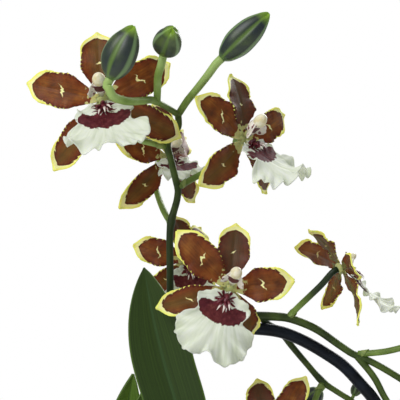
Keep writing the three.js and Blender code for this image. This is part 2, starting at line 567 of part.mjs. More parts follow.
const orchid = new THREE.Group();
orchid.add(node('pot', potGeometry(), FINISH.pot()));
orchid.add(node('bark', barkGeometry(), FINISH.bark()));
orchid.add(node('hoop', stem(HOOP_ROUTE, HOOP_TUBE_RADIUS, HOOP_TUBE_RADIUS, 17, 8), FINISH.hoop()));
orchid.add(node('flower_spike', spikeGeometry(), FINISH.stem()));
for (const bulb of BULBS) orchid.add(node(bulb.name, bulbGeometry(bulb), FINISH.bulb()));
for (const leaf of LEAVES) orchid.add(node(leaf.name, leafGeometry(leaf), FINISH.leaf()));
for (const bud of BUDS) orchid.add(node(bud.name, budGeometry(bud), FINISH.bud()));
for (const bloom of BLOOMS) {
  const frame = bloomFrame(bloom);
  frame.add(node(`${bloom.name}_tepals`, tepalsGeometry(bloom), FINISH.tepal()));
  frame.add(node(`${bloom.name}_lip`, lipGeometry(bloom), FINISH.lip()));
  frame.add(node(`${bloom.name}_column`, columnGeometry(bloom), FINISH.column()));
  orchid.add(frame);
}

export default orchid;
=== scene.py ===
# A potted colmanara orchid: the finish of every surface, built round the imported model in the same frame.
# Metres, +Z up, the origin under the middle of the pot. The routes and forms are given in millimetres.
import math
import random

import bmesh
import bpy
from mathutils import Matrix, Vector, noise
from mathutils.geometry import interpolate_bezier


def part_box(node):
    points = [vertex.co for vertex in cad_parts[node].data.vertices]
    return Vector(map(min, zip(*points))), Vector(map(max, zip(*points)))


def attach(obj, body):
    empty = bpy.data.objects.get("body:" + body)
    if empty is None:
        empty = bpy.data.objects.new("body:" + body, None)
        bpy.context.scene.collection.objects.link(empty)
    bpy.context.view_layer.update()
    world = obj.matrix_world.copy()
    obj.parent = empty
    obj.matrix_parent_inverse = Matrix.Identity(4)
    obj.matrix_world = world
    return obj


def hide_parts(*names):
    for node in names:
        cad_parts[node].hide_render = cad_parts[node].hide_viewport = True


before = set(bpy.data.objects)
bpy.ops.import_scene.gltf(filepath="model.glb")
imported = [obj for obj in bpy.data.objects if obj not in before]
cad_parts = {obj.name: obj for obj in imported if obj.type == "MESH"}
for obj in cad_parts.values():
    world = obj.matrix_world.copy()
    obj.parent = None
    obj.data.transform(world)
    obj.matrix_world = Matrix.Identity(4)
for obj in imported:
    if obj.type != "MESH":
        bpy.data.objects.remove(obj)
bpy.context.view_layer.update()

# Camera: level with the blooms on the side they face, a metre away with a long lens, so that the frame
# holds 200 mm of the plant.
MM = 0.001
eye = bpy.data.objects.new("camera", bpy.data.cameras.new("camera"))
eye.location = Vector((-24, -1000, 425)) * MM
eye.rotation_euler = (math.radians(90), 0, 0)
eye.data.lens = 180
eye.data.sensor_width = 36
eye.data.clip_end = 50
bpy.context.scene.collection.objects.link(eye)
bpy.context.scene.camera = eye


# Floor and light: a plain pale table top, a bright white room, a large soft window up to the left and a
# weaker one behind the plant, which lights the petals through.
FLOOR_RADIUS = 2.2
ROOM_LIGHT = 0.38


def linear(code):
    """An sRGB hex colour as the linear values that a shader reads."""
    parts = [int(code[i:i + 2], 16) / 255 for i in (1, 3, 5)]
    return [p / 12.92 if p <= 0.04045 else ((p + 0.055) / 1.055) ** 2.4 for p in parts] + [1.0]


def material(name):
    """A new material: its node tree, and the shader that its surface comes from."""
    made = bpy.data.materials.new(name)
    made.use_nodes = True
    return made, made.node_tree, made.node_tree.nodes["Principled BSDF"]


def feed(node, feeds):
    """Feeds a node's sockets, by name or in their order, from numbers, hex colours or other nodes."""
    for socket, source in feeds.items() if isinstance(feeds, dict) else enumerate(feeds):
        if isinstance(source, bpy.types.Node):
            source = source.outputs[0]
        if isinstance(source, bpy.types.NodeSocket):
            node.id_data.links.new(source, node.inputs[socket])
        else:
            node.inputs[socket].default_value = linear(source) if isinstance(source, str) else source
    return node


def add(tree, kind, feeds=(), stops=(), **settings):
    """Adds a shader node with its settings and the stops of its ramp, and feeds its sockets."""
    made = tree.nodes.new("ShaderNode" + kind)
    for name, value in settings.items():
        setattr(made, name, value)
    for i, (position, colour) in enumerate(stops):
        stop = made.color_ramp.elements[i] if i < 2 else made.color_ramp.elements.new(position)
        stop.position = position
        stop.color = linear(colour)
    return feed(made, feeds)


floor_mesh = bmesh.new()
bmesh.ops.create_circle(floor_mesh, cap_ends=True, segments=96, radius=FLOOR_RADIUS)
floor = bpy.data.objects.new("floor", bpy.data.meshes.new("floor"))
floor_mesh.to_mesh(floor.data)
bpy.context.scene.collection.objects.link(floor)
# Laminate pressed on board: an even matt white, hardly clouded
table, tree, surface = material("matt_white_laminate")
cloud = add(tree, "TexNoise", {"Scale": 90, "Detail": 4})
feed(surface, {
    "Base Color": add(tree, "ValToRGB", (cloud,), stops=[(0.3, "#f3f3f1"), (0.7, "#fbfbfa")]),
    "Roughness": 0.7,
})
floor.data.materials.append(table)

room = bpy.data.worlds.new("white_room")
room.use_nodes = True
tree = room.node_tree
wall_seen = feed(tree.nodes["Background"], {"Color": "#ffffff", "Strength": 1.0})
wall_light = add(tree, "Background", {"Color": "#f4f8ff", "Strength": ROOM_LIGHT})
seen_ray = add(tree, "LightPath").outputs["Is Camera Ray"]
feed(tree.nodes["World Output"], {"Surface": add(tree, "MixShader", (seen_ray, wall_light, wall_seen))})
bpy.context.scene.world = room
bpy.context.scene.view_settings.view_transform = "Standard"

WINDOWS = [
    {"name": "window_light", "at": (-0.7, -0.9, 1.25), "size": 0.9, "power": 15},
    {"name": "back_light", "at": (0.5, 0.9, 0.95), "size": 0.8, "power": 12},
]
PLANT_MIDDLE = Vector((0, 0, 0.4))
for window in WINDOWS:
    lamp = bpy.data.objects.new(window["name"], bpy.data.lights.new(window["name"], "AREA"))
    lamp.data.shape = "SQUARE"
    lamp.data.size = window["size"]
    lamp.data.energy = window["power"]
    lamp.location = window["at"]
    lamp.rotation_euler = (PLANT_MIDDLE - lamp.location).to_track_quat("-Z", "Y").to_euler()
    bpy.context.scene.collection.objects.link(lamp)


# Pot: a plain cup of stoneware, thrown with a rolled rim and a small foot, glazed off-white all over but
# for the foot ring, which is wiped clean before firing.
def finish_piece(shape, name, materials, slot, *nodes, smooth=True, to_plant=None):
    """Makes a bmesh a piece of the plant, which rides on its body and stands for CAD nodes."""
    if to_plant:
        bmesh.ops.transform(shape, matrix=Matrix.Scale(MM, 4) @ to_plant, verts=shape.verts[:])
    piece = bpy.data.objects.new(name, bpy.data.meshes.new(name))
    shape.to_mesh(piece.data)
    shape.free()
    for made in materials:
        piece.data.materials.append(made)
    if smooth:
        piece.data.shade_smooth()
    bpy.context.scene.collection.objects.link(piece)
    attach(piece, "root")
    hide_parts(*nodes)
    return piece


def spin_profile(shape, profile, steps):
    """Turns a profile of (radius, height) points about Z into a closed body, its faces pointing out."""
    corners = [shape.verts.new((radius, 0, height)) for radius, height in profile]
    edges = [shape.edges.new(pair) for pair in zip(corners, corners[1:])]
    bmesh.ops.spin(
        shape, geom=corners + edges, axis=(0, 0, 1), cent=(0, 0, 0), angle=math.tau, steps=steps,
        use_merge=True,
    )
    bmesh.ops.remove_doubles(shape, verts=shape.verts[:], dist=1e-6)
    bmesh.ops.recalc_face_normals(shape, faces=shape.faces[:])


def object_noise(tree, scale, detail, stretch=None, roughness=0.5):
    """A noise fixed to the object, with features of about 1/scale metres, or stretched along its axes."""
    place = add(tree, "TexCoord").outputs["Object"]
    if stretch:
        place = add(tree, "Mapping", {"Vector": place, "Scale": stretch})
    return add(tree, "TexNoise", {"Vector": place, "Scale": scale, "Detail": detail, "Roughness": roughness})


rim_radius, _, pot_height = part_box("pot")[1]
base_radius = rim_radius * 50 / 70
WALL = 5 * MM
BOTTOM = 7 * MM
FOOT_RECESS = 1.2 * MM

pot_shape = bmesh.new()
spin_profile(
    pot_shape,
    [
        (0, FOOT_RECESS), (base_radius - 6 * MM, FOOT_RECESS), (base_radius - 4 * MM, 0),
        (base_radius - 1 * MM, 0), (base_radius, 1.5 * MM), (base_radius + 1 * MM, 12 * MM),
        (rim_radius - 6 * MM, pot_height - 17 * MM), (rim_radius - 5.2 * MM, pot_height - 15 * MM),
        (rim_radius - 2.2 * MM, pot_height - 14 * MM), (rim_radius - 1 * MM, pot_height - 12 * MM),
        (rim_radius, pot_height - 4 * MM), (rim_radius - 0.6 * MM, pot_height - 1.2 * MM),
        (rim_radius - 2.2 * MM, pot_height), (rim_radius - 4.2 * MM, pot_height - 0.4 * MM),
        (rim_radius - WALL, pot_height - 2 * MM), (rim_radius - WALL - 4 * MM, pot_height - 17 * MM),
        (base_radius - WALL, 10 * MM), (base_radius - WALL - 5 * MM, BOTTOM), (0, BOTTOM),
    ],
    96,
)
# Glaze fired on clay: a hard, softly clouded off-white gloss with brown iron specks and a fine orange peel.
# The clay of the foot ring is bare, so it is tan and rough.
glaze, tree, surface = material("glazed_stoneware")
place = add(tree, "TexCoord").outputs["Object"]
cloud = add(tree, "ValToRGB", (object_noise(tree, 28, 3),), stops=[(0.3, "#dcd6ca"), (0.7, "#eeeae1")])
speck = add(tree, "TexVoronoi", {"Vector": place, "Scale": 260, "Randomness": 1.0})
speckled = add(tree, "MixRGB", (add(tree, "MapRange", (speck, 0.1, 0.16, 0.45, 0.0)), cloud, "#8d7b62"))
height = add(tree, "SeparateXYZ", (place,)).outputs["Z"]
bare_foot = add(tree, "MapRange", (height, 0.0028, 0.0036, 1.0, 0.0))
feed(surface, {
    "Base Color": add(tree, "MixRGB", (bare_foot, speckled, "#b39a7c")),
    "Roughness": add(tree, "MapRange", (bare_foot, 0.0, 1.0, 0.22, 0.85)),
    "Normal": add(tree, "Bump", {"Height": object_noise(tree, 180, 2), "Strength": 0.25, "Distance": 0.0004}),
    "Coat Weight": 0.3,
})
finish_piece(pot_shape, "stoneware_pot", [glaze], "pot", "pot")


# Bark mix: a dark bed of fine bark with coarse chips of pine bark lying on it at all angles. The chips are
# snapped from the trunk, so each is a flat slab with broken ends.
BED_TOP = 106 * MM
BED_FOOT = 12 * MM
CHIPS = 170
CHIP_SEED = 4127
CHIP_TILT = 24
# Shares of a chip's own size: how far it is warped and broken, and how wide its edges are worn
CHIP_WARP = 0.16
CHIP_BREAK = 0.05
CHIP_WEAR = 0.09
bed_radius = rim_radius - WALL - 5.2 * MM

bed_shape = bmesh.new()
spin_profile(
    bed_shape,
    [(0, BED_FOOT), (base_radius - WALL - 2 * MM, BED_FOOT), (bed_radius, BED_TOP - 1 * MM),
     (bed_radius - 6 * MM, BED_TOP), (bed_radius * 0.5, BED_TOP + 0.6 * MM), (0, BED_TOP)],
    48,
)
draw = random.Random(CHIP_SEED)
# Without a seed of its own, noise_vector starts from the clock, and the chips differ in each run
noise.seed_set(CHIP_SEED)
golden_turn = math.pi * (3 - math.sqrt(5))
for i in range(CHIPS):
    length = draw.uniform(9, 25) * MM
    slab = Matrix.Diagonal((length, length * draw.uniform(0.45, 0.75), draw.uniform(2.6, 5.2) * MM, 1))
    reach = (bed_radius - 7 * MM - length * 0.3) * math.sqrt((i + 0.5) / CHIPS)
    spot = Vector((reach * math.cos(i * golden_turn), reach * math.sin(i * golden_turn), 0))
    lie = Matrix.Rotation(draw.uniform(0, math.tau), 4, "Z")
    lie = lie @ Matrix.Rotation(math.radians(draw.uniform(-CHIP_TILT, CHIP_TILT)), 4, "X")
    lie = lie @ Matrix.Rotation(math.radians(draw.uniform(-CHIP_TILT, CHIP_TILT)), 4, "Y")
    rise = Matrix.Translation(spot + Vector((0, 0, BED_TOP + draw.uniform(0, 4.5) * MM)))
    chip = bmesh.ops.create_cube(bed_shape, size=1)["verts"]
    for corner in chip:
        corner.co += CHIP_WARP * noise.noise_vector(corner.co * 1.7 + Vector((i * 3.1, 0, 0)))
    edges = list({edge for corner in chip for edge in corner.link_edges})
    made = bmesh.ops.bevel(
        bed_shape, geom=edges, offset=CHIP_WEAR, segments=1, affect="EDGES", profile=0.5, material=-1
    )
    body = list({corner for face in made["faces"] for corner in face.verts})
    for corner in body:
        corner.co += CHIP_BREAK * noise.noise_vector(corner.co * 5 + Vector((0, i * 2.3, 0)))
    bmesh.ops.transform(bed_shape, matrix=rise @ lie @ slab, verts=body)
# Bark of a pine, broken and dried: dull flakes from tan to nearly black, with strata of cork a few
# millimetres apart on their ends.
bark_cork, tree, surface = material("pine_bark_chips")
strata = object_noise(tree, 1.0, 6, (90, 90, 420), 0.65)
strata_shade = add(tree, "ValToRGB", (strata,), stops=[(0.3, "#5b5b5b"), (0.7, "#ffffff")])
BARK_HUES = [(0.32, "#2b1a10"), (0.5, "#5a3a22"), (0.68, "#8a6238")]
bark_hue = add(tree, "ValToRGB", (object_noise(tree, 45, 3),), stops=BARK_HUES)
feed(surface, {
    "Base Color": add(tree, "MixRGB", (0.85, bark_hue, strata_shade), blend_type="MULTIPLY"),
    "Normal": add(tree, "Bump", {"Height": strata, "Strength": 0.8, "Distance": 0.0012}), "Roughness": 0.92,
})
finish_piece(bed_shape, "bark_mix", [bark_cork], "bark", "bark", smooth=False)


# Hoop: a support of thick steel wire in a smooth black-blue plastic coat, bent over by hand and pushed
# into the bark at both ends.
HOOP_TUBE = 3.1
HOOP_ROUTE = [
    (-43, 12, 92), (-42, 12, 140), (-38, 12, 210), (-34, 12, 275), (-32.6, 12, 323.8), (-32.1, 12, 341.5),
    (-29.1, 12, 350.6), (-22.5, 12, 356.7), (-13.9, 12, 359.2), (-4.8, 12, 360), (6.4, 12, 359.7),
    (17, 12, 358.2), (27.1, 12, 354.4), (39.2, 12, 347.6), (48.9, 12, 340.8), (57.5, 12, 331.6),
    (64, 12, 323.8), (72, 12, 308), (77, 12, 286), (78, 12, 262), (75, 12, 220), (68, 12, 170),
    (57.5, 12, 132), (51, 12, 112), (51, 12, 92),
]


def smooth_route(route, step):
    """Places about a step apart along one smooth curve through a route's points, all in millimetres."""
    points = [Vector(point) for point in route]
    points = [2 * points[0] - points[1]] + points + [2 * points[-1] - points[-2]]
    places = []
    for before, start, end, after in zip(points, points[1:], points[2:], points[3:]):
        pairs = (before, start), (start, end), (end, after)
        first, middle, last = [math.sqrt((b - a).length) for a, b in pairs]
        leave = (start - before) / first - (end - before) / (first + middle) + (end - start) / middle
        arrive = (end - start) / middle - (after - start) / (middle + last) + (after - end) / last
        count = max(2, round((end - start).length / step) + 1)
        stretch = interpolate_bezier(start, start + leave * middle / 3, end - arrive * middle / 3, end, count)
        places += stretch[:-1]
    return places + [points[-2]]


def sweep_tube(shape, places, radius_at, sides, tone=(1.0, 1.0)):
    """Extrudes a round section along places, in millimetres. Attribute tone runs from end to end."""
    tones = shape.verts.layers.float.get("tone") or shape.verts.layers.float.new("tone")
    ring = bmesh.ops.create_circle(shape, cap_ends=False, segments=sides, radius=1)["verts"]
    base = [corner.co.copy() for corner in ring]
    edges = list({edge for corner in ring for edge in corner.link_edges})
    first_edges, last = edges, len(places) - 1
    normal = (places[1] - places[0]).normalized().orthogonal().normalized()
    for i, place in enumerate(places):
        direction = (places[min(i + 1, last)] - places[max(i - 1, 0)]).normalized()
        normal = (normal - direction * normal.dot(direction)).normalized()
        across = direction.cross(normal)
        if i > 0:
            made = bmesh.ops.extrude_edge_only(shape, edges=edges)["geom"]
            moved = {corner for corner in made if isinstance(corner, bmesh.types.BMVert)}
            pairs = [[edge.other_vert(corner) for edge in corner.link_edges] for corner in ring]
            ring = [next(corner for corner in pair if corner in moved) for pair in pairs]
            edges = [item for item in made if isinstance(item, bmesh.types.BMEdge)]
            edges = [edge for edge in edges if moved.issuperset(edge.verts)]
        radius = radius_at(i / last)
        for corner, (x, y, _) in zip(ring, base):
            corner.co = (place + normal * x * radius + across * y * radius) * MM
            corner[tones] = tone[0] + (tone[1] - tone[0]) * i / last
    for loop in (first_edges, edges):
        bmesh.ops.edgeloop_fill(shape, edges=loop)


hoop_shape = bmesh.new()
sweep_tube(hoop_shape, smooth_route(HOOP_ROUTE, 2.5), lambda share: HOOP_TUBE, 24)
bmesh.ops.recalc_face_normals(hoop_shape, faces=hoop_shape.faces[:])
# Soft PVC drawn over steel wire: black-blue with a broad dull sheen, rubbed a little unevenly
coat, tree, surface = material("plastic_coated_steel_wire")
scuff = object_noise(tree, 160, 5)
feed(surface, {
    "Base Color": add(tree, "ValToRGB", (scuff,), stops=[(0.35, "#070c13"), (0.75, "#121b26")]),
    "Roughness": add(tree, "MapRange", (scuff, 0.3, 0.7, 0.34, 0.5)),
    "Normal": add(tree, "Bump", {"Height": scuff, "Strength": 0.15, "Distance": 0.0002}),
    "Specular IOR Level": 0.2,
})
finish_piece(hoop_shape, "support_hoop", [coat], "hoop", "hoop")


# Pseudobulbs: the swollen, flattened stem bases that store water. They are shallowly ribbed, wax-green and
# flushed with brown, and the dry remains of their sheaths wrap the lower part.
BULBS = [
    {"node": "pseudobulb_front", "at": (-22, -12), "turn": 8, "size": 1.0},
    {"node": "pseudobulb_right", "at": (19, -6), "turn": -12, "size": 0.96},
    {"node": "pseudobulb_back_left", "at": (-13, 31), "turn": 14, "size": 0.9},
    {"node": "pseudobulb_back_right", "at": (27, 28), "turn": -6, "size": 0.86},
]
BULB_HALF_WIDTH = 18
BULB_HALF_DEPTH = 10.5
BULB_HEIGHT = 76
BULB_FOOT = 101
BULB_TAPER = 0.26
BULB_RIB = 0.04
SHEATH_FOOT = 0.06
SHEATH_SHARE = 0.42
SHEATH_LIFT = 0.7


def marks_of(tree, name):
    """A vector attribute of the mesh, followed by its three parts."""
    vector = add(tree, "Attribute", attribute_name=name).outputs["Vector"]
    return [vector, *add(tree, "SeparateXYZ", (vector,)).outputs]


# Living skin over wet flesh: waxy, a little see-through, yellow-brown at the foot and green above, with
# fine ribs up and down
flesh, tree, surface = material("pseudobulb_skin")
height = marks_of(tree, "bulb")[2]
greens = add(tree, "ValToRGB", (height,), stops=[(0.15, "#7d7a35"), (0.45, "#5f7f35"), (0.95, "#44682a")])
flush = add(tree, "MapRange", (object_noise(tree, 60, 4), 0.52, 0.75, 0.0, 0.55))
ribs = object_noise(tree, 1.0, 2, (900, 900, 30))
feed(surface, {
    "Base Color": add(tree, "MixRGB", (flush, greens, "#6b4a24")),
    "Normal": add(tree, "Bump", {"Height": ribs, "Strength": 0.35, "Distance": 0.0004}),
    "Roughness": 0.42, "Subsurface Weight": 0.1, "Subsurface Radius": (0.002, 0.003, 0.001),
})

# Dead leaf sheath: dry parchment, dull and straw-brown, with close fibres up and down
husk, tree, surface = material("dry_sheath_fibre")
fibre = object_noise(tree, 1.0, 3, (1400, 1400, 45))
feed(surface, {
    "Base Color": add(tree, "ValToRGB", (fibre,), stops=[(0.3, "#8a6a41"), (0.7, "#c9ac78")]),
    "Normal": add(tree, "Bump", {"Height": fibre, "Strength": 0.6, "Distance": 0.0003}), "Roughness": 0.8,
})

for bulb in BULBS:
    size, half_height = bulb["size"], BULB_HEIGHT / 2 * bulb["size"]
    bulb_shape = bmesh.new()
    marks = bulb_shape.verts.layers.float_vector.new("bulb")
    bmesh.ops.create_uvsphere(bulb_shape, u_segments=72, v_segments=40, radius=1)
    for corner in bulb_shape.verts:
        x, y, height = corner.co
        angle = math.atan2(y, x)
        rib = 1 + BULB_RIB * math.cos(6 * angle) + 0.012 * math.cos(17 * angle) * (1 - height ** 2)
        swell = (1 - BULB_TAPER * height) * rib * size
        corner[marks] = (angle, (height + 1) / 2, size)
        corner.co = (x * BULB_HALF_WIDTH * swell, y * BULB_HALF_DEPTH * swell, height * half_height)
    for corner in bmesh.ops.create_grid(bulb_shape, x_segments=72, y_segments=14, size=1)["verts"]:
        angle = corner.co.x * math.pi * 1.06
        upward = (corner.co.y + 1) / 2
        tear = noise.noise(Vector((2 * math.cos(angle), 2 * math.sin(angle), size * 40)))
        height = 2 * (SHEATH_FOOT + upward * SHEATH_SHARE * (1 + 0.5 * tear)) - 1
        girth = math.sqrt(max(0.0, 1 - height ** 2))
        swell = (1 - BULB_TAPER * height) * size * (1 + BULB_RIB * math.cos(6 * angle))
        lift = SHEATH_LIFT + 0.5 * corner.co.x + 1.2 * upward ** 3
        corner.co = (
            math.cos(angle) * (BULB_HALF_WIDTH * swell * girth + lift),
            math.sin(angle) * (BULB_HALF_DEPTH * swell * girth + lift),
            height * half_height,
        )
        for face in corner.link_faces:
            face.material_index = 1
    turn = Matrix.Rotation(math.radians(bulb["turn"]), 4, "Z")
    to_plant = Matrix.Translation((*bulb["at"], BULB_FOOT + half_height)) @ turn
    finish_piece(
        bulb_shape, bulb["node"] + "_skin", [flesh, husk], "pseudobulb", bulb["node"], to_plant=to_plant
    )


# Leaves: strap leaves, leathery and folded in a shallow V along the midrib, with fine parallel veins under
# a waxy skin and a thin paler margin.
LEAVES = [
    {"node": "leaf_front_tall", "side": (1, -0.1, 0), "half_width": 15.2, "tone": 0.25,
     "route": [(-23, -11, 177.4), (-24.5, -9, 215), (-28, -6.5, 270), (-35, -6, 320), (-41.4, -6, 343),
               (-47.5, -6, 368), (-51.8, -6, 391.4)]},
    {"node": "leaf_left_bright", "side": (1, 0.2, 0.1), "half_width": 12, "tone": 1.0,
     "route": [(-44, 30, 102), (-50, 30, 160), (-58, 29, 220), (-63, 26, 280), (-61.8, 23, 315),
               (-58.2, 20, 336.3)]},
    {"node": "leaf_left_tall", "side": (1, -0.15, 0), "half_width": 11, "tone": 0.45,
     "route": [(-46, -6, 102), (-54, -4, 150), (-57, -1, 215), (-56, 1.5, 280), (-53, 2.5, 328.5)]},
    {"node": "leaf_front_right", "side": (0.8, 0.6, 0), "half_width": 13, "tone": 0.5,
     "route": [(0.5, -21, 102), (4, -27, 128), (10, -38, 155), (25, -60, 200), (46, -84, 224),
               (74, -112, 214)]},
    {"node": "leaf_right_long", "side": (0.2, 1, 0), "half_width": 14, "tone": 0.4,
     "route": [(19, -6, 174.6), (27, -10, 205), (48, -16, 246), (84, -26, 268), (124, -38, 250)]},
    {"node": "leaf_right_low", "side": (0.5, 1, 0), "half_width": 12.5, "tone": 0.6,
     "route": [(41, -14, 102), (52, -22, 145), (74, -40, 186), (100, -60, 200), (126, -80, 184)]},
    {"node": "leaf_back_left", "side": (0.8, 0.55, 0), "half_width": 13.5, "tone": 0.35,
     "route": [(-13, 31, 170.1), (-19, 46, 205), (-34, 72, 244), (-56, 102, 262), (-82, 132, 246)]},
    {"node": "leaf_back_right", "side": (0.8, -0.6, 0), "half_width": 13, "tone": 0.5,
     "route": [(27, 28, 167), (33, 42, 200), (50, 68, 240), (76, 98, 258), (104, 126, 238)]},
    {"node": "leaf_back_low", "side": (1, 0, 0), "half_width": 12, "tone": 0.6,
     "route": [(7, 48, 102), (8, 62, 150), (8, 88, 192), (6, 118, 206), (2, 148, 188)]},
    {"node": "leaf_front_left", "side": (0.55, -0.8, 0), "half_width": 12.5, "tone": 0.55,
     "route": [(-43, -26, 102), (-54, -34, 148), (-78, -50, 192), (-106, -68, 208), (-134, -86, 192)]},
]
LEAF_THICKNESS = 1.1
LEAF_FOOT_SHARE = 0.34
LEAF_FOLD = 0.28


def smoothstep(value, low, high):
    """Eases from 0 at low to 1 at high."""
    share = min(max((value - low) / (high - low), 0.0), 1.0)
    return share * share * (3 - 2 * share)


def along_route(places):
    """A function that gives the place and direction at a share of a route's length, and that length."""
    reached = [0.0]
    for a, b in zip(places, places[1:]):
        reached.append(reached[-1] + (b - a).length)

    def at(share):
        goal = min(max(share, 0.0), 1.0) * reached[-1]
        i = next((k for k in range(1, len(reached) - 1) if reached[k] >= goal), len(reached) - 1)
        part = (goal - reached[i - 1]) / (reached[i] - reached[i - 1])
        behind = (places[i] - places[max(i - 2, 0)]).normalized()
        ahead = (places[min(i + 1, len(places) - 1)] - places[i - 1]).normalized()
        return places[i - 1].lerp(places[i], part), behind.lerp(ahead, part).normalized()

    return at, reached[-1]


def thicken(piece, thickness, material_offset=0):
    """Gives a sheet its thickness in millimetres, half to each side."""
    wall = piece.modifiers.new("thickness", "SOLIDIFY")
    wall.thickness = thickness * MM
    wall.offset = 0
    wall.material_offset = material_offset


# Leaf skin under wax: deep green or, on a young leaf, fresh green, pale at the foot, with a soft sheen
# broken by close lengthwise veins, a dull midrib and a thin pale margin
blade, tree, surface = material("orchid_leaf_cuticle")
mark, across, along, tone = marks_of(tree, "blade")
old = add(tree, "ValToRGB", (along,), stops=[(0.0, "#2b3d18"), (0.25, "#17260f"), (1.0, "#13210d")])
young = add(tree, "ValToRGB", (along,), stops=[(0.0, "#7c8f45"), (0.3, "#4b6b1c"), (1.0, "#5d7d24")])
off_midrib = add(tree, "Math", (across,), operation="ABSOLUTE")
midrib = add(tree, "MapRange", (off_midrib, 0.02, 0.09, 0.55, 0.0))
ribbed = add(tree, "MixRGB", (midrib, add(tree, "MixRGB", (tone, old, young)), "#3c5a30"))
margin = add(tree, "MapRange", (off_midrib, 0.955, 0.99, 0.0, 0.8))
edged = add(tree, "MixRGB", (margin, ribbed, "#5f7d30"))
vein_place = add(tree, "Mapping", {"Vector": mark, "Scale": (26, 1.6, 9)})
veins = add(tree, "TexNoise", {"Vector": vein_place, "Scale": 1.0, "Detail": 4, "Roughness": 0.6})
vein_shade = add(tree, "ValToRGB", (veins,), stops=[(0.3, "#c4c4c4"), (0.7, "#ffffff")])
feed(surface, {
    "Base Color": add(tree, "MixRGB", (0.9, edged, vein_shade), blend_type="MULTIPLY"),
    "Normal": add(tree, "Bump", {"Height": veins, "Strength": 0.4, "Distance": 0.0003}),
    "Roughness": 0.42, "Specular IOR Level": 0.25,
})

for leaf in LEAVES:
    at, length = along_route(smooth_route(leaf["route"], 2))
    sideways = Vector(leaf["side"]).normalized()
    leaf_shape = bmesh.new()
    marks = leaf_shape.verts.layers.float_vector.new("blade")
    bmesh.ops.create_grid(leaf_shape, x_segments=20, y_segments=72, size=1)
    for corner in leaf_shape.verts:
        across = corner.co.x
        along = 1 - (1 - (corner.co.y + 1) / 2) ** 1.3
        past = max(0.0, (along - 0.78) / 0.22)
        widening = math.sin(min(1.0, along / 0.62) * math.pi / 2)
        narrowing = max(0.02, (1 - past ** 2) ** 0.85)
        width = leaf["half_width"] * (LEAF_FOOT_SHARE + (1 - LEAF_FOOT_SHARE) * widening) * narrowing
        place, direction = at(along)
        crosswise = (sideways - direction * sideways.dot(direction)).normalized()
        out = crosswise.cross(direction)
        ease = math.sqrt(across ** 2 + 0.004) - math.sqrt(0.004)
        wave = 0.35 * math.sin(length * along / 14 + 5 * leaf["half_width"]) * across ** 2
        corner[marks] = (across, along, leaf["tone"])
        corner.co = (place + crosswise * across * width + out * (LEAF_FOLD * ease * width + wave)) * MM
    thicken(finish_piece(leaf_shape, leaf["node"] + "_blade", [blade], "leaf", leaf["node"]), LEAF_THICKNESS)


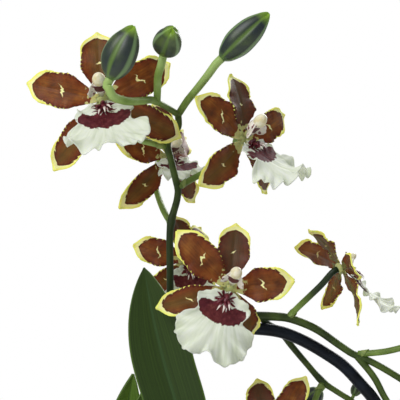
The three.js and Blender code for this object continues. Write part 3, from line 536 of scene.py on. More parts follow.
# Blooms: where each is, the way it faces and its roll, its column (length, forward tilt), its lip (forward
# lean, turn to one side, and shares of its length for the droop of its sides and the cleft in its end), and
# its five tepals (angle from straight up, length, width, forward lean), clockwise from the top as seen from
# its front. Degrees and millimetres. Each bloom's stalk comes from the spike.
BLOOMS = [
    {"node": "bloom_a", "at": (-71.5, -20, 474), "yaw": 0, "pitch": 0, "roll": -9, "size": 1.08,
     "lip": (56, 0, 0.0, 0.0), "column": (14.5, 48), "dorsal_kind": 0.7,
     "tepals": [(-6, 35.5, 19, -12), (60, 40, 18, -15), (115, 47, 15.5, -22), (-144, 44, 15, -10),
                (-77, 40, 18, -8)],
     "stalk": [(-41.1, 6, 452.1), (-48.1, 4, 453.6), (-56, 1, 456), (-63, -3, 464)]},
    {"node": "bloom_b", "at": (-2.5, 0, 455), "yaw": 50, "pitch": 0, "roll": -10, "size": 0.98,
     "lip": (64, 10, 0.5, 0.08), "column": (16.5, 50),
     "tepals": [(0, 34, 18, -8), (65, 32, 16, 12), (134, 39, 13, -5), (-134, 34, 18, -10), (-53, 35, 18, -8)],
     "stalk": [(-34.8, 8, 431.5), (-29, 10, 435), (-21, 12, 439.3), (-14, 12, 442.5), (-8.5, 10.5, 446),
               (-5.6, 7.5, 450.5)]},
    {"node": "bloom_c", "at": (-41, 45, 447), "yaw": 35, "pitch": 0, "roll": -4, "size": 0.92,
     "lip": (80, 0, 0.15, 0.08), "column": (14, 48),
     "tepals": [(-5, 31, 15, -10), (65, 33, 15, -30), (135, 34, 12.5, -10), (-137, 37, 14, -8),
                (-76, 31, 13.5, 0)],
     "stalk": [(-39.1, 8, 413.9), (-42.8, 22, 420), (-46.4, 42, 429), (-49, 54, 438)]},
    {"node": "bloom_d", "at": (-9.4, -25, 382.1), "yaw": 0, "pitch": 0, "roll": 20, "size": 1.0,
     "lip": (12, 0, 0.4, 0.1), "column": (14, 50),
     "tepals": [(6, 34, 16.5, -18), (83, 32, 17, 17), (154, 34, 13.5, -33), (-106, 39, 13.5, -10),
                (-43, 38, 17.5, 6)],
     "stalk": [(-9.8, 12, 366.3), (-8.6, 4, 371.8), (-8, -4, 376.9)]},
    {"node": "bloom_e", "at": (-30.7, 30, 393.5), "yaw": 20, "pitch": 0, "roll": -4, "size": 0.8,
     "lip": (20, 0, 0.4, 0.08), "column": (14, 48),
     "tepals": [(-4, 28, 13, -28), (38, 27, 13, -32), (140, 28, 12, -14), (-133, 27, 12, -18),
                (-72, 29, 14.5, -18)],
     "stalk": [(-35.5, 12, 357.5), (-33.5, 23, 356.5), (-34, 35, 361), (-36, 42, 372)]},
    # Bloom F's stalk tone falls below zero at the bloom: painted shade, dark where the stalk meets the bloom.
    {"node": "bloom_f", "at": (46.6, 4, 390.9), "yaw": 112, "pitch": 24, "roll": 0, "size": 0.94,
     "lip": (34, -21, 0.05, 0.08), "column": (9.5, 80), "stalk_tone_and_shade": (1.0, -0.15),
     "tepals": [(16, 25, 12.5, -8), (62, 31, 15, -10), (132, 31, 9.5, -12), (-136, 36, 14.5, -16),
                (-84, 25, 15, -4)],
     "stalk": [(20.5, 12, 365.4), (25, 9.5, 370.4), (31, 6.5, 376.4), (37, 4.5, 382.4)]},
    {"node": "bloom_g", "at": (11.4, -4, 306), "yaw": -15, "pitch": 8, "roll": -12, "size": 1.0,
     "lip": (25, 0, 0.4, 0.08), "column": (14, 48),
     "tepals": [(-18, 32, 15, -6), (24, 37, 14, -14), (98, 37, 13.5, -8), (-148, 37, 13.5, -8),
                (-80, 36, 16, -4)],
     "stalk": [(38.9, 22, 332), (36, 20, 326.6), (33, 16, 320), (26, 11, 311)]},
    {"node": "bloom_h", "at": (112, -4, 376), "yaw": 50, "pitch": 4, "roll": 6, "size": 0.98,
     "lip": (32, 0, 0.4, 0.08), "column": (14, 48),
     "tepals": [(0, 34, 16.5, -6), (63, 36, 17, 2), (130, 38, 13.5, -12), (-130, 38, 13.5, -12),
                (-63, 36, 17, 2)],
     "stalk": [(56, 12, 347.2), (61.8, 10.5, 347.6), (70.8, 8, 348.9), (81.4, 6, 352.2), (92, 5, 359),
               (99, 5, 368)]},
]
DISC_FRONT = 0.8
DISC_BACK = 2.6
SEAT_GAP = 0.35


def bloom_frame(bloom, roll=0):
    """A bloom's own axes: x to its right as seen from its front, y up, z the way it faces."""
    frame_turn = Matrix.Rotation(math.radians(bloom["yaw"]), 4, "Z")
    frame_tilt = Matrix.Rotation(math.radians(90 - bloom["pitch"]), 4, "X")
    frame_roll = Matrix.Rotation(math.radians(-roll), 4, "Z")
    return Matrix.Translation(bloom["at"]) @ frame_turn @ frame_tilt @ frame_roll


# Tepals: three sepals and two petals of waxy tissue. Each is red-brown with darker edges, a lemon margin
# that widens to the tip, a cream bar across the middle and a greenish star at the foot.
TEPAL_THICKNESS = 0.6
TEPAL_FOOT = 1.8
DISC_RADIUS = 2.9


def tepal_material(name, hues):
    """The tissue of one face of the tepals, with its markings placed in millimetres from foot and edge."""
    made, tree, surface = material(name)
    spot, across, from_foot, _ = marks_of(tree, "tepal_mm")
    _, edge, along, kind = marks_of(tree, "tepal_form")
    streak_place = add(tree, "Mapping", {"Vector": spot, "Scale": (1.5, 0.09, 3.7)})
    streaks = add(tree, "TexNoise", {"Vector": streak_place, "Scale": 1.0, "Detail": 5, "Roughness": 0.65})
    patches = add(tree, "TexNoise", {"Vector": spot, "Scale": 0.16, "Detail": 3})
    browns = [(0.3, hues["dull"]), (0.52, hues["body"]), (0.75, hues["warm"])]
    body = add(tree, "ValToRGB", (patches,), stops=browns)
    fine = add(tree, "ValToRGB", (streaks,), stops=[(0.3, "#9c9c9c"), (0.55, "#dcdcdc"), (0.75, "#ffffff")])
    grained = add(tree, "MixRGB", (0.8, body, fine), blend_type="MULTIPLY")
    middle = add(tree, "Math", (across,), operation="ABSOLUTE")
    midline = add(tree, "MapRange", (middle, 0.8, 5.5, 0.9, 0.0))
    gold = add(tree, "Math", (midline, kind), operation="MULTIPLY")
    golden = add(tree, "MixRGB", (gold, grained, hues["olive"]))
    flushed = add(tree, "MixRGB", (add(tree, "MapRange", (edge, 0.5, 5.0, 0.55, 0.0)), golden, hues["flush"]))
    toned = add(tree, "MixRGB", (add(tree, "MapRange", (kind, 0.85, 1.0, 0.0, 0.55)), flushed, hues["dusk"]))
    # The margin: none at the foot, wide at the tip, wider on one side than the other, with the brown
    # reaching out into it in rounded lobes that have a darker rim
    around = add(tree, "Math", (from_foot, middle), operation="ADD")
    paced = add(tree, "Math", (around, 1.1), operation="MULTIPLY")
    jitter = add(tree, "TexNoise", {"Vector": spot, "Scale": 0.35, "Detail": 2})
    phase = add(tree, "Math", (jitter, 4.0, paced), operation="MULTIPLY_ADD")
    lobe = add(tree, "Math", (add(tree, "Math", (phase,), operation="SINE"),), operation="ABSOLUTE")
    notch = add(tree, "MapRange", (add(tree, "Math", (lobe, 0.45), operation="POWER"), 0.0, 1.0, 1.0, 0.0))
    uneven = add(tree, "TexNoise", {"Vector": spot, "Scale": 0.085, "Detail": 1})
    share = add(tree, "MapRange", (uneven, 0.4, 0.6, 0.6, 1.5))
    swell = add(tree, "Math", (along, 5.0), operation="POWER")
    margin = add(tree, "Math", (swell, 5.0, -0.35), operation="MULTIPLY_ADD")
    start = add(tree, "MapRange", (along, 0.18, 0.45, -0.4, 0.0))
    notched = add(tree, "Math", (notch, start), operation="ADD")
    border = add(tree, "Math", (margin, share, notched), operation="MULTIPLY_ADD")
    depth = add(tree, "Math", (edge, border), operation="SUBTRACT")
    rimmed = add(tree, "MixRGB", (add(tree, "MapRange", (depth, 0.2, 1.7, 0.95, 0.0)), toned, hues["rim"]))
    # The bar across the middle, slanting and zigzag, and shorter on a sepal
    zig_place = add(tree, "Mapping", {"Vector": spot, "Scale": (0.38, 0.0, 1.0)})
    zig = add(tree, "TexNoise", {"Vector": zig_place, "Scale": 1.0})
    wander = add(tree, "MapRange", (zig, 0.0, 1.0, -3.6, 3.6))
    line = add(tree, "Math", (across, 0.45, wander), operation="MULTIPLY_ADD")
    from_bar = add(tree, "Math", (along, 36.0, -18.0), operation="MULTIPLY_ADD")
    off_line = add(tree, "Math", (from_bar, line), operation="SUBTRACT")
    off_bar = add(tree, "Math", (off_line,), operation="ABSOLUTE")
    bar_reach = add(tree, "MapRange", (kind, 0.0, 1.0, 3.6, 1.5))
    bar_width = add(tree, "MapRange", (middle, 0.0, bar_reach, 0.85, -0.1))
    bar_share = add(tree, "MapRange", (kind, 0.0, 1.0, 1.0, 0.7))
    bar_size = add(tree, "Math", (bar_width, bar_share), operation="MULTIPLY")
    in_bar = add(tree, "Math", (bar_size, off_bar), operation="SUBTRACT")
    barred = add(tree, "MixRGB", (add(tree, "MapRange", (in_bar, -0.1, 0.15)), rimmed, hues["bar"]))
    # The star at the foot, and the pale margin, lemon at its very edge
    star_reach = add(tree, "TexNoise", {"Vector": spot, "Scale": 0.38, "Detail": 1})
    star_edge = add(tree, "MapRange", (star_reach, 0.35, 0.65, 2.0, 8.5))
    in_star = add(tree, "Math", (star_edge, from_foot), operation="SUBTRACT")
    starred = add(tree, "MixRGB", (add(tree, "MapRange", (in_star, 0.0, 0.8)), barred, hues["star"]))
    pale = add(tree, "MixRGB", (add(tree, "MapRange", (edge, 0.3, 1.6)), hues["margin"], hues["cream"]))
    feed(surface, {
        "Base Color": add(tree, "MixRGB", (add(tree, "MapRange", (depth, -0.05, 0.2)), pale, starred)),
        "Normal": add(tree, "Bump", {"Height": streaks, "Strength": 0.5, "Distance": 0.00025}),
        "Roughness": 0.5, "Specular IOR Level": 0.2, "Subsurface Weight": 0.25, "Subsurface Scale": 1.0,
        "Subsurface Radius": (0.003, 0.0016, 0.0006),
    })
    return made


# Petal tissue, grown and wet inside: satin, finely streaked lengthwise, and warm where light comes through.
# The front is rich red-brown under its markings, and the back duller and greener.
tepal_face = tepal_material("tepal_face_tissue", {
    "dull": "#5d3414", "body": "#7d4818", "warm": "#9a6426", "olive": "#57471a", "flush": "#6c2a12",
    "rim": "#43170e", "dusk": "#3d2b26", "bar": "#eae6a6", "star": "#b4b676", "margin": "#eeec70",
    "cream": "#ece7a2",
})
tepal_back = tepal_material("tepal_back_tissue", {
    "dull": "#5a381a", "body": "#784a20", "warm": "#8c5c28", "olive": "#5c5c26", "flush": "#743c1a",
    "rim": "#4c2414", "dusk": "#55412a", "bar": "#b0a468", "star": "#6a6838", "margin": "#dfdd66",
    "cream": "#d8d284",
})


def tepal_sheet(shape, layers, tepal, kind, seed, size):
    """One tepal: narrow at its foot, broadest past its middle, with a waved edge and its tip bent back."""
    angle, length, width, lean = tepal
    spots, forms = layers
    outward = Vector((math.sin(math.radians(angle)), math.cos(math.radians(angle)), 0))
    sideways = Vector((outward.y, -outward.x, 0))
    facing = Vector((0, 0, 1))
    cos_lean, sin_lean = math.cos(math.radians(lean)), math.sin(math.radians(lean))
    lengthwise = outward * cos_lean + facing * sin_lean
    out = facing * cos_lean - outward * sin_lean
    foot = TEPAL_FOOT * size

    def half_at(along):
        phase = math.pi * along ** 1.2
        outline = 0.14 + 0.86 * max(0.0, math.sin(phase)) ** (0.85 if phase < math.pi / 2 else 0.64)
        point = 1 - max(0.0, (along - 0.86) / 0.14) ** 1.6
        return width / 2 * outline * (0.3 + 0.7 * point)

    for corner in bmesh.ops.create_grid(shape, x_segments=28, y_segments=52, size=1)["verts"]:
        across, along = corner.co.x, (corner.co.y + 1) / 2
        half = half_at(along)
        step = 0.01
        taper = (half_at(min(1.0, along + step)) - half_at(max(0.0, along - step))) / (2 * step * length)
        side = 1 if across >= 0 else -1
        crinkle = noise.noise(Vector((along * length * 0.3, side * 9.0, seed)))
        fine = noise.noise(Vector((along * length * 0.9, side * 9.0, seed)))
        wave = math.cos(math.pi * 5 * along)
        ragged = 1 + 0.05 * wave + 0.05 * fine
        cup = 0.12 * across ** 2 * half + 0.055 * width * across ** 2 * wave
        ruffle = abs(across) ** 3 * (1.5 * crinkle + 0.5 * fine) * size
        ruffle *= math.sin(math.pi * min(1.0, along + 0.05))
        crease = -0.35 * math.exp(-(across * half / 0.9) ** 2) * math.sin(math.pi * along)
        bow = 0.05 * length * math.sin(math.pi * along) - 0.1 * length * along ** 2.5
        nib = 0.8 * smoothstep(along, 0.94, 1.0)
        reach = foot + (length - foot) * along
        corner[spots] = (across * half, along * length, seed)
        corner[forms] = ((1 - abs(across)) * half / math.sqrt(1 + taper ** 2), along, kind)
        lift = cup + ruffle + crease + bow + nib
        corner.co = lengthwise * reach + sideways * across * half * ragged + out * lift


for index, bloom in enumerate(BLOOMS):
    bloom_shape = bmesh.new()
    layers = [bloom_shape.verts.layers.float_vector.new(name) for name in ("tepal_mm", "tepal_form")]
    kinds = (bloom.get("dorsal_kind", 1.0), 0.0, 0.7, 0.8, 0.0)
    for k, (tepal, kind) in enumerate(zip(bloom["tepals"], kinds)):
        tepal_sheet(bloom_shape, layers, tepal, kind, index * 7.0 + k * 1.3, bloom["size"])
    for corner in bmesh.ops.create_uvsphere(bloom_shape, u_segments=24, v_segments=12, radius=1)["verts"]:
        corner[layers[0]] = (0, 0.5, index)
        corner[layers[1]] = (5, 0, 0)
        x, y, z = corner.co
        corner.co = Vector((x * DISC_RADIUS, y * DISC_RADIUS, z * 1.5 - 0.7)) * bloom["size"]
    name, node = bloom["node"] + "_sepals_petals", bloom["node"] + "_tepals"
    to_plant = bloom_frame(bloom)
    piece = finish_piece(bloom_shape, name, [tepal_face, tepal_back], "tepal", node, to_plant=to_plant)
    thicken(piece, TEPAL_THICKNESS, material_offset=1)


# Lips: the broad modified petal that insects land on. It is thin and white with radiating folds, a frilled
# edge and a maroon kidney-shaped band, and carries a toothed crest at its foot.
LIP_LENGTH = 37
LIP_THICKNESS = 0.5
LIP_HALF_OUTLINE = [
    (0, 0.97), (0.12, 0.99), (0.27, 0.97), (0.41, 0.89), (0.51, 0.76), (0.55, 0.6), (0.52, 0.45),
    (0.33, 0.345), (0.39, 0.2), (0.27, 0.07), (0.1, 0.02),
]
LIP_MIDDLE = Vector((0, 0.46, 0))
LIP_SECTORS = 176
LIP_RINGS = 22
# Each tooth of the crest: its place, girth, length, how far it lies over and splays, and how pale it ends
CREST_TEETH = [
    (0, 3.2, 1.9, 5.0, 30, 6, 0.5), (-1.6, 5.0, 1.4, 5.6, 60, -30, 0.55),
    (1.5, 5.4, 1.2, 6.4, 66, 22, 1.0), (0.3, 6.6, 1.1, 6.6, 74, 3, 1.0),
    (-1.2, 7.2, 0.9, 5.6, 80, -17, 1.0), (1.1, 6.8, 0.8, 5.2, 80, 12, 0.8),
    (-2.3, 4.4, 1.0, 4.6, 66, -66, 0.45), (2.2, 4.2, 1.0, 4.2, 62, 58, 0.5),
    (0.1, 5.0, 2.2, 3.2, 40, -8, 0.4),
]

# Thin petal tissue: greenish white, with painted green-grey shade in its folds, satin, and bright where light
# comes through.
# The maroon band is a curved kidney with a ragged edge, and maroon strokes fan from the crest.
lip_tissue, tree, surface = material("lip_tissue")
spot, lip_x, lip_y, seed = marks_of(tree, "lip_mm")
fold_y = add(tree, "Math", (lip_y, 1.5), operation="SUBTRACT")
fold_angle = add(tree, "Math", (lip_x, fold_y), operation="ARCTAN2")
fold_turn = add(tree, "Math", (fold_angle, 9.0), operation="MULTIPLY")
fold_along = add(tree, "Math", (lip_y, 0.05), operation="MULTIPLY")
fold_place = add(tree, "CombineXYZ", (fold_turn, fold_along, seed))
folds = add(tree, "TexNoise", {"Vector": fold_place, "Scale": 1.0, "Detail": 3})
# The darker green-grey end of this ramp follows the folds: it is painted shade in the creases.
whites_with_fold_shade = add(tree, "ValToRGB", (folds,), stops=[(0.25, "#bfc8ae"), (0.5, "#d9dfca"), (0.75, "#e6e9dc")])
blot = add(tree, "TexNoise", {"Vector": spot, "Scale": 0.45, "Detail": 3})
x_square = add(tree, "Math", (lip_x, lip_x), operation="MULTIPLY")
band_line = add(tree, "Math", (x_square, -0.018, 12.4), operation="MULTIPLY_ADD")
band_way = add(tree, "Math", (lip_y, band_line), operation="SUBTRACT")
off_band = add(tree, "Math", (band_way,), operation="ABSOLUTE")
x_share = add(tree, "Math", (x_square, 162.0), operation="DIVIDE")
x_fourth = add(tree, "Math", (x_share, x_share), operation="MULTIPLY")
band_room = add(tree, "Math", (1.0, x_fourth), operation="SUBTRACT", use_clamp=True)
band_round = add(tree, "Math", (band_room, 0.5), operation="POWER")
band_inside = add(tree, "Math", (band_round, 4.6), operation="MULTIPLY")
band_clean = add(tree, "Math", (band_inside, off_band), operation="SUBTRACT")
band_ragged = add(tree, "MapRange", (blot, 0.3, 0.7, -0.8, 0.8))
band_depth = add(tree, "Math", (band_clean, band_ragged), operation="ADD")
maroon = add(tree, "ValToRGB", (blot,), stops=[(0.3, "#3c1118"), (0.55, "#541e26"), (0.75, "#6c3437")])
banded = add(tree, "MixRGB", (add(tree, "MapRange", (band_depth, 0.0, 0.35)), whites_with_fold_shade, maroon))
stroke_y = add(tree, "Math", (lip_y, 5.0), operation="SUBTRACT")
stroke_angle = add(tree, "Math", (lip_x, stroke_y), operation="ARCTAN2")
stroke_place = add(tree, "CombineXYZ", (add(tree, "Math", (stroke_angle, 2.6), operation="MULTIPLY"), seed))
strokes = add(tree, "TexNoise", {"Vector": stroke_place, "Scale": 1.0, "Detail": 2})
stroke_square = add(tree, "Math", (stroke_y, stroke_y, x_square), operation="MULTIPLY_ADD")
stroke_far = add(tree, "Math", (stroke_square, 0.5), operation="POWER")
stroke_fade = add(tree, "MapRange", (stroke_far, 3.0, 8.5, 0.0, 0.3))
stroke_level = add(tree, "Math", (strokes, stroke_fade), operation="SUBTRACT")
feed(surface, {
    "Base Color": add(tree, "MixRGB", (add(tree, "MapRange", (stroke_level, 0.42, 0.45)), banded, "#5c1c2a")),
    "Normal": add(tree, "Bump", {"Height": folds, "Strength": 0.35, "Distance": 0.0006}),
    "Roughness": 0.6, "Specular IOR Level": 0.12, "Subsurface Weight": 0.3, "Subsurface Scale": 1.0,
    "Subsurface Radius": (0.003, 0.003, 0.002),
})

# Crest tissue: firm, waxy and shining, maroon, with cream at the ends of the longer teeth
crest, tree, surface = material("crest_tissue")
tooth = add(tree, "Attribute", attribute_name="tooth").outputs["Fac"]
level = add(tree, "Math", (object_noise(tree, 420, 3), 0.5, tooth), operation="MULTIPLY_ADD")
crest_hue = add(tree, "ValToRGB", (level,), stops=[(0.5, "#5a1624"), (0.85, "#73303a"), (0.95, "#e9dcd2")])
feed(surface, {"Base Color": crest_hue, "Roughness": 0.35})

lip_rim = LIP_HALF_OUTLINE + [(0, 0)] + [(-across, along) for across, along in reversed(LIP_HALF_OUTLINE[1:])]
lip_loop = smooth_route([(x, y, 0) for x, y in lip_rim + lip_rim[:1]], 0.01)
lip_outline = []
for i in range(LIP_SECTORS):
    turn = math.tau * i / LIP_SECTORS
    ray = Vector((math.sin(turn), math.cos(turn), 0))
    lip_outline.append(max(lip_loop, key=lambda point: (point - LIP_MIDDLE).normalized().dot(ray)))

for index, bloom in enumerate(BLOOMS):
    size = bloom["size"]
    lean_angle, turn_angle, droop_share, cleft_share = bloom["lip"]
    lean = math.radians(lean_angle)
    length = LIP_LENGTH * size
    to_plant = bloom_frame(bloom, bloom["roll"]) @ Matrix.Rotation(math.radians(turn_angle), 4, "Y")
    right = Vector((1, 0, 0))
    down = Vector((0, -math.cos(lean), math.sin(lean)))
    out = Vector((0, math.sin(lean), math.cos(lean)))
    base = Vector((0, -0.9 * size, DISC_FRONT * size + SEAT_GAP + 0.8 * math.cos(lean)))
    lip_shape = bmesh.new()
    spots = lip_shape.verts.layers.float_vector.new("lip_mm")
    spoke = [lip_shape.verts.new((0, i / LIP_RINGS, 0)) for i in range(LIP_RINGS + 1)]
    spoke_edges = [lip_shape.edges.new(pair) for pair in zip(spoke, spoke[1:])]
    bmesh.ops.spin(
        lip_shape, geom=spoke + spoke_edges, axis=(0, 0, -1), cent=(0, 0, 0), angle=math.tau,
        steps=LIP_SECTORS, use_merge=True,
    )
    bmesh.ops.remove_doubles(lip_shape, verts=lip_shape.verts[:], dist=1e-5)
    for corner in lip_shape.verts:
        reach = corner.co.length
        turn = math.atan2(corner.co.x, corner.co.y) % math.tau
        rim_point = lip_outline[round(turn / math.tau * LIP_SECTORS) % LIP_SECTORS]
        spot = LIP_MIDDLE + (rim_point - LIP_MIDDLE) * reach
        fan = smoothstep(spot.y, 0.3, 0.6)
        spot.y -= cleft_share * math.exp(-(spot.x / 0.1) ** 2) * fan * reach ** 2
        frill = noise.noise(Vector((3.2 * math.cos(turn), 3.2 * math.sin(turn), index * 5.0)))
        pleat = turn * 13 + 2.6 * frill
        ruffle = (0.06 * math.sin(pleat) * reach ** 5 + 0.13 * frill * reach ** 3) * (0.35 + 0.65 * fan)
        swing = 0.03 * math.sin(turn * 5 + index) * reach ** 3 * fan
        crease = 0.2 * cleft_share * math.exp(-(spot.x / 0.05) ** 2) * fan
        droop = fan * (droop_share * spot.x ** 2 + 0.05 * spot.y ** 2)
        droop += 0.1 * math.sin(math.pi * min(1.0, spot.y))
        raised = 0.12 * (1 - fan) * abs(spot.x)
        scallop = math.sin(pleat + 1.2) + 0.8 * math.sin(turn * 29 + 4 * frill)
        stretch = 1 + (0.02 * scallop - 0.05 * (1 + frill)) * reach ** 3
        corner[spots] = (spot.x * LIP_LENGTH, spot.y * LIP_LENGTH, index * 3.7)
        x, y, _ = LIP_MIDDLE + (spot - LIP_MIDDLE) * stretch
        corner.co = base + (right * x + down * y + out * (ruffle + swing - crease - droop + raised)) * length
    name, node = bloom["node"] + "_lip_blade", bloom["node"] + "_lip"
    thicken(finish_piece(lip_shape, name, [lip_tissue], "lip", node, to_plant=to_plant), LIP_THICKNESS)

    # The crest: a low keel with blunt teeth that lean out over the band
    crest_shape = bmesh.new()
    shares = crest_shape.verts.layers.float.new("tooth")
    for x, y, girth, tall, lying, splay, paleness in CREST_TEETH:
        point = down * math.cos(math.radians(splay)) + right * math.sin(math.radians(splay))
        for corner in bmesh.ops.create_uvsphere(crest_shape, u_segments=14, v_segments=12, radius=1)["verts"]:
            rise = (corner.co.z + 1) / 2
            thin = girth * (1.1 - 0.8 * rise)
            bend = math.radians(lying) * rise
            ahead = point * math.cos(bend) - out * math.sin(bend)
            spine = point * math.sin(bend) + out * math.cos(bend)
            corner[shares] = rise * paleness
            place = right * (x + corner.co.x * thin) + down * y + ahead * corner.co.y * thin
            corner.co = base + (place + spine * tall * (rise - 0.15)) * size
    bmesh.ops.recalc_face_normals(crest_shape, faces=crest_shape.faces[:])
    finish_piece(crest_shape, bloom["node"] + "_lip_crest", [crest], "lip", node, to_plant=to_plant)


# Columns: the short arched post where stamens and pistil are one. The cap over the pollen is cream, the
# hollow below it maroon, and the two wings beside it white with maroon spots.
COLUMN_FOOT_SHARE = 0.115
# Shares of the column's length: the post's half width, half depth and top, the cap's half width, half depth,
# middle and half height, and the wings' thickness
POST_SHARES = 0.225, 0.19, 0.84
CAP_SHARES = 0.21, 0.19, 0.8, 0.25
WING_SHARE = 0.035

# Wax of the anther cap: smooth, cream and half clear, with a soft shine
cap_wax, tree, surface = material("anther_cap_wax")
cloud = object_noise(tree, 260, 2)
feed(surface, {
    "Base Color": add(tree, "ValToRGB", (cloud,), stops=[(0.35, "#d9cc9c"), (0.6, "#f0ead0")]),
    "Roughness": 0.35, "Subsurface Weight": 0.3, "Subsurface Radius": (0.002, 0.0016, 0.001),
})

# Firm waxy tissue: greenish at the foot and cream above, with maroon spots, and maroon in the hollow
post, tree, surface = material("column_tissue")
_, _, height, dent = marks_of(tree, "column")
creams = add(tree, "ValToRGB", (height,), stops=[(0.1, "#a9ad78"), (0.45, "#e2dccb"), (0.8, "#eee6d8")])
spots_mask = add(tree, "MapRange", (object_noise(tree, 520, 2), 0.58, 0.62))
spotted = add(tree, "MixRGB", (spots_mask, creams, "#74283a"))
feed(surface, {
    "Base Color": add(tree, "MixRGB", (add(tree, "MapRange", (dent, 0.45, 0.6)), spotted, "#5b2a26")),
    "Roughness": 0.45, "Subsurface Weight": 0.15, "Subsurface Radius": (0.002, 0.001, 0.001),
})

for index, bloom in enumerate(BLOOMS):
    size = bloom["size"]
    length, tilt = bloom["column"][0] * size, math.radians(bloom["column"][1])
    column_shape = bmesh.new()
    marks = column_shape.verts.layers.float_vector.new("column")
    for corner in bmesh.ops.create_uvsphere(column_shape, u_segments=40, v_segments=28, radius=1)["verts"]:
        x, y, z = corner.co
        rise = (z + 1) / 2
        widen = 0.62 + 0.5 * smoothstep(rise, 0.2, 0.6)
        front = smoothstep(-y, 0.35, 0.85) * smoothstep(rise, 0.32, 0.45) * (1 - smoothstep(rise, 0.68, 0.76))
        corner[marks] = (x, rise, front)
        wide, deep, top = POST_SHARES
        corner.co = Vector((x * wide * widen, rise * top, -y * deep * widen * (1 - 0.5 * front))) * length
    for corner in bmesh.ops.create_uvsphere(column_shape, u_segments=28, v_segments=20, radius=1)["verts"]:
        x, y, z = corner.co
        egg = 1 + 0.14 * z
        wide, deep, middle, tall = CAP_SHARES
        corner.co = Vector((x * wide / egg, middle + z * tall, -y * deep / egg + 0.02)) * length
        for face in corner.link_faces:
            face.material_index = 1
    for side in (-1, 1):
        wing = bmesh.ops.create_grid(column_shape, x_segments=8, y_segments=12, size=1)["verts"]
        for corner in wing:
            u, v = (corner.co.x + 1) / 2, (corner.co.y + 1) / 2
            lobe = math.sin(math.pi * v) ** 0.6
            jag = 1 + 0.12 * math.sin(v * 24 + index)
            corner[marks] = (u, 0.5 + 0.3 * v, 0.0)
            x = side * (0.17 + 0.24 * u * lobe * jag)
            corner.co = Vector((x, 0.22 + 0.54 * v - 0.12 * u * lobe, 0.04 + 0.2 * u * lobe)) * length
        wing_faces = list({face for corner in wing for face in corner.link_faces})
        made = bmesh.ops.solidify(column_shape, geom=wing_faces, thickness=WING_SHARE * length)
        for item in made["geom"]:
            if isinstance(item, bmesh.types.BMVert):
                item[marks] = (0.5, 0.65, 0.0)
    bmesh.ops.recalc_face_normals(column_shape, faces=column_shape.faces[:])
    rise = DISC_FRONT * size + SEAT_GAP + COLUMN_FOOT_SHARE * length * math.cos(tilt)
    seat = Matrix.Translation((0, 1.4 * size, rise)) @ Matrix.Rotation(tilt, 4, "X")
    finish_piece(
        column_shape, bloom["node"] + "_column_post", [post, cap_wax], "column", bloom["node"] + "_column",
        to_plant=bloom_frame(bloom, bloom["roll"]) @ seat,
    )


# Buds: three sepals closed edge to edge round the petals. The keels and seams run pale green on dark green,
# and the tips stay a little apart in two or three points.
BUDS = [
    {"node": "bud_1", "from": (-67.1, -43, 482.9), "to": (-55.4, -48, 507.8), "radius": 8.4,
     "stalk": [(-45.2, -12, 473.4), (-48, -17, 474.2), (-53, -26, 473.2), (-60, -36, 472.8), (-66, -42, 475),
               (-67.6, -43, 478.4)]},
    {"node": "bud_2", "from": (-41.4, -24, 496.9), "to": (-37.2, -42, 507), "radius": 7,
     "stalk": [(-45.2, -12, 473.4), (-44.9, -17, 479.7), (-44.6, -20, 485.5), (-43.1, -21.5, 490.7)]},
    {"node": "bud_3", "from": (-13.5, -1, 495.4), "to": (10.3, -6, 517.9), "radius": 7.2,
     "stalk": [(-35, 5, 467.8), (-30.5, 3, 474.6), (-25.5, 1.5, 480.6), (-20, 0, 487.5)]},
    {"node": "bud_4", "from": (37.6, 26, 327.8), "to": (28, 34, 315.5), "radius": 5.6,
     "stalk": [(38.9, 22, 332.2), (38.9, 24, 330)]},
    {"node": "bud_5", "from": (54.6, 25, 324.6), "to": (58.6, 28, 332.4), "radius": 3,
     "stalk": [(52.4, 22, 322.8), (53.4, 23.6, 323.4)]},
    {"node": "bud_6", "from": (90.8, 21.1, 290), "to": (95, 20, 266), "radius": 6.4,
     "stalk": [(84, 20, 304), (88.6, 21, 296)]},
    {"node": "bud_7", "from": (114.6, 30.7, 288), "to": (118, 34, 266), "radius": 5.4,
     "stalk": [(108, 24, 304), (112.6, 28.4, 294)]},
    {"node": "bud_8", "from": (67.6, 33.6, 298), "to": (72, 37, 278), "radius": 5.4,
     "stalk": [(64, 30, 309), (66.3, 32.4, 302.4)]},
    {"node": "bud_9", "from": (117, 10, 317), "to": (138, 4, 306), "radius": 6.8,
     "stalk": [(98, 16, 318), (106, 14, 320)]},
]
BUD_PROFILE = [(0.24, 0.0), (0.66, 0.12), (0.98, 0.36), (0.92, 0.62), (0.5, 0.88), (0.0, 1.0)]

# Skin of the sepals' backs: waxy, clouded dark green with a blue cast, paler along keels, seams, foot and tip
bud_skin, tree, surface = material("bud_sepal_skin")
_, keel, along, seam = marks_of(tree, "bud")
BUD_HUES = [(0.36, "#1b2628"), (0.52, "#2c3926"), (0.66, "#4d5d2e")]
bud_hue = add(tree, "ValToRGB", (object_noise(tree, 75, 5),), stops=BUD_HUES)
BUD_PALE_PARTS = [
    ((keel, 0.9, 1.0, 0.0, 0.8), "#7c9a62"), ((seam, 0.1, 0.8, 0.0, 0.75), "#5d7a2c"),
    ((along, 0.82, 1.0, 0.0, 0.9), "#8ab02a"), ((along, 0.0, 0.1, 0.7, 0.0), "#5c7d38"),
]
for reach, hue in BUD_PALE_PARTS:
    bud_hue = add(tree, "MixRGB", (add(tree, "MapRange", reach), bud_hue, hue))
feed(surface, {
    "Base Color": bud_hue, "Roughness": 0.42,
    "Subsurface Weight": 0.1, "Subsurface Radius": (0.001, 0.002, 0.0005),
})

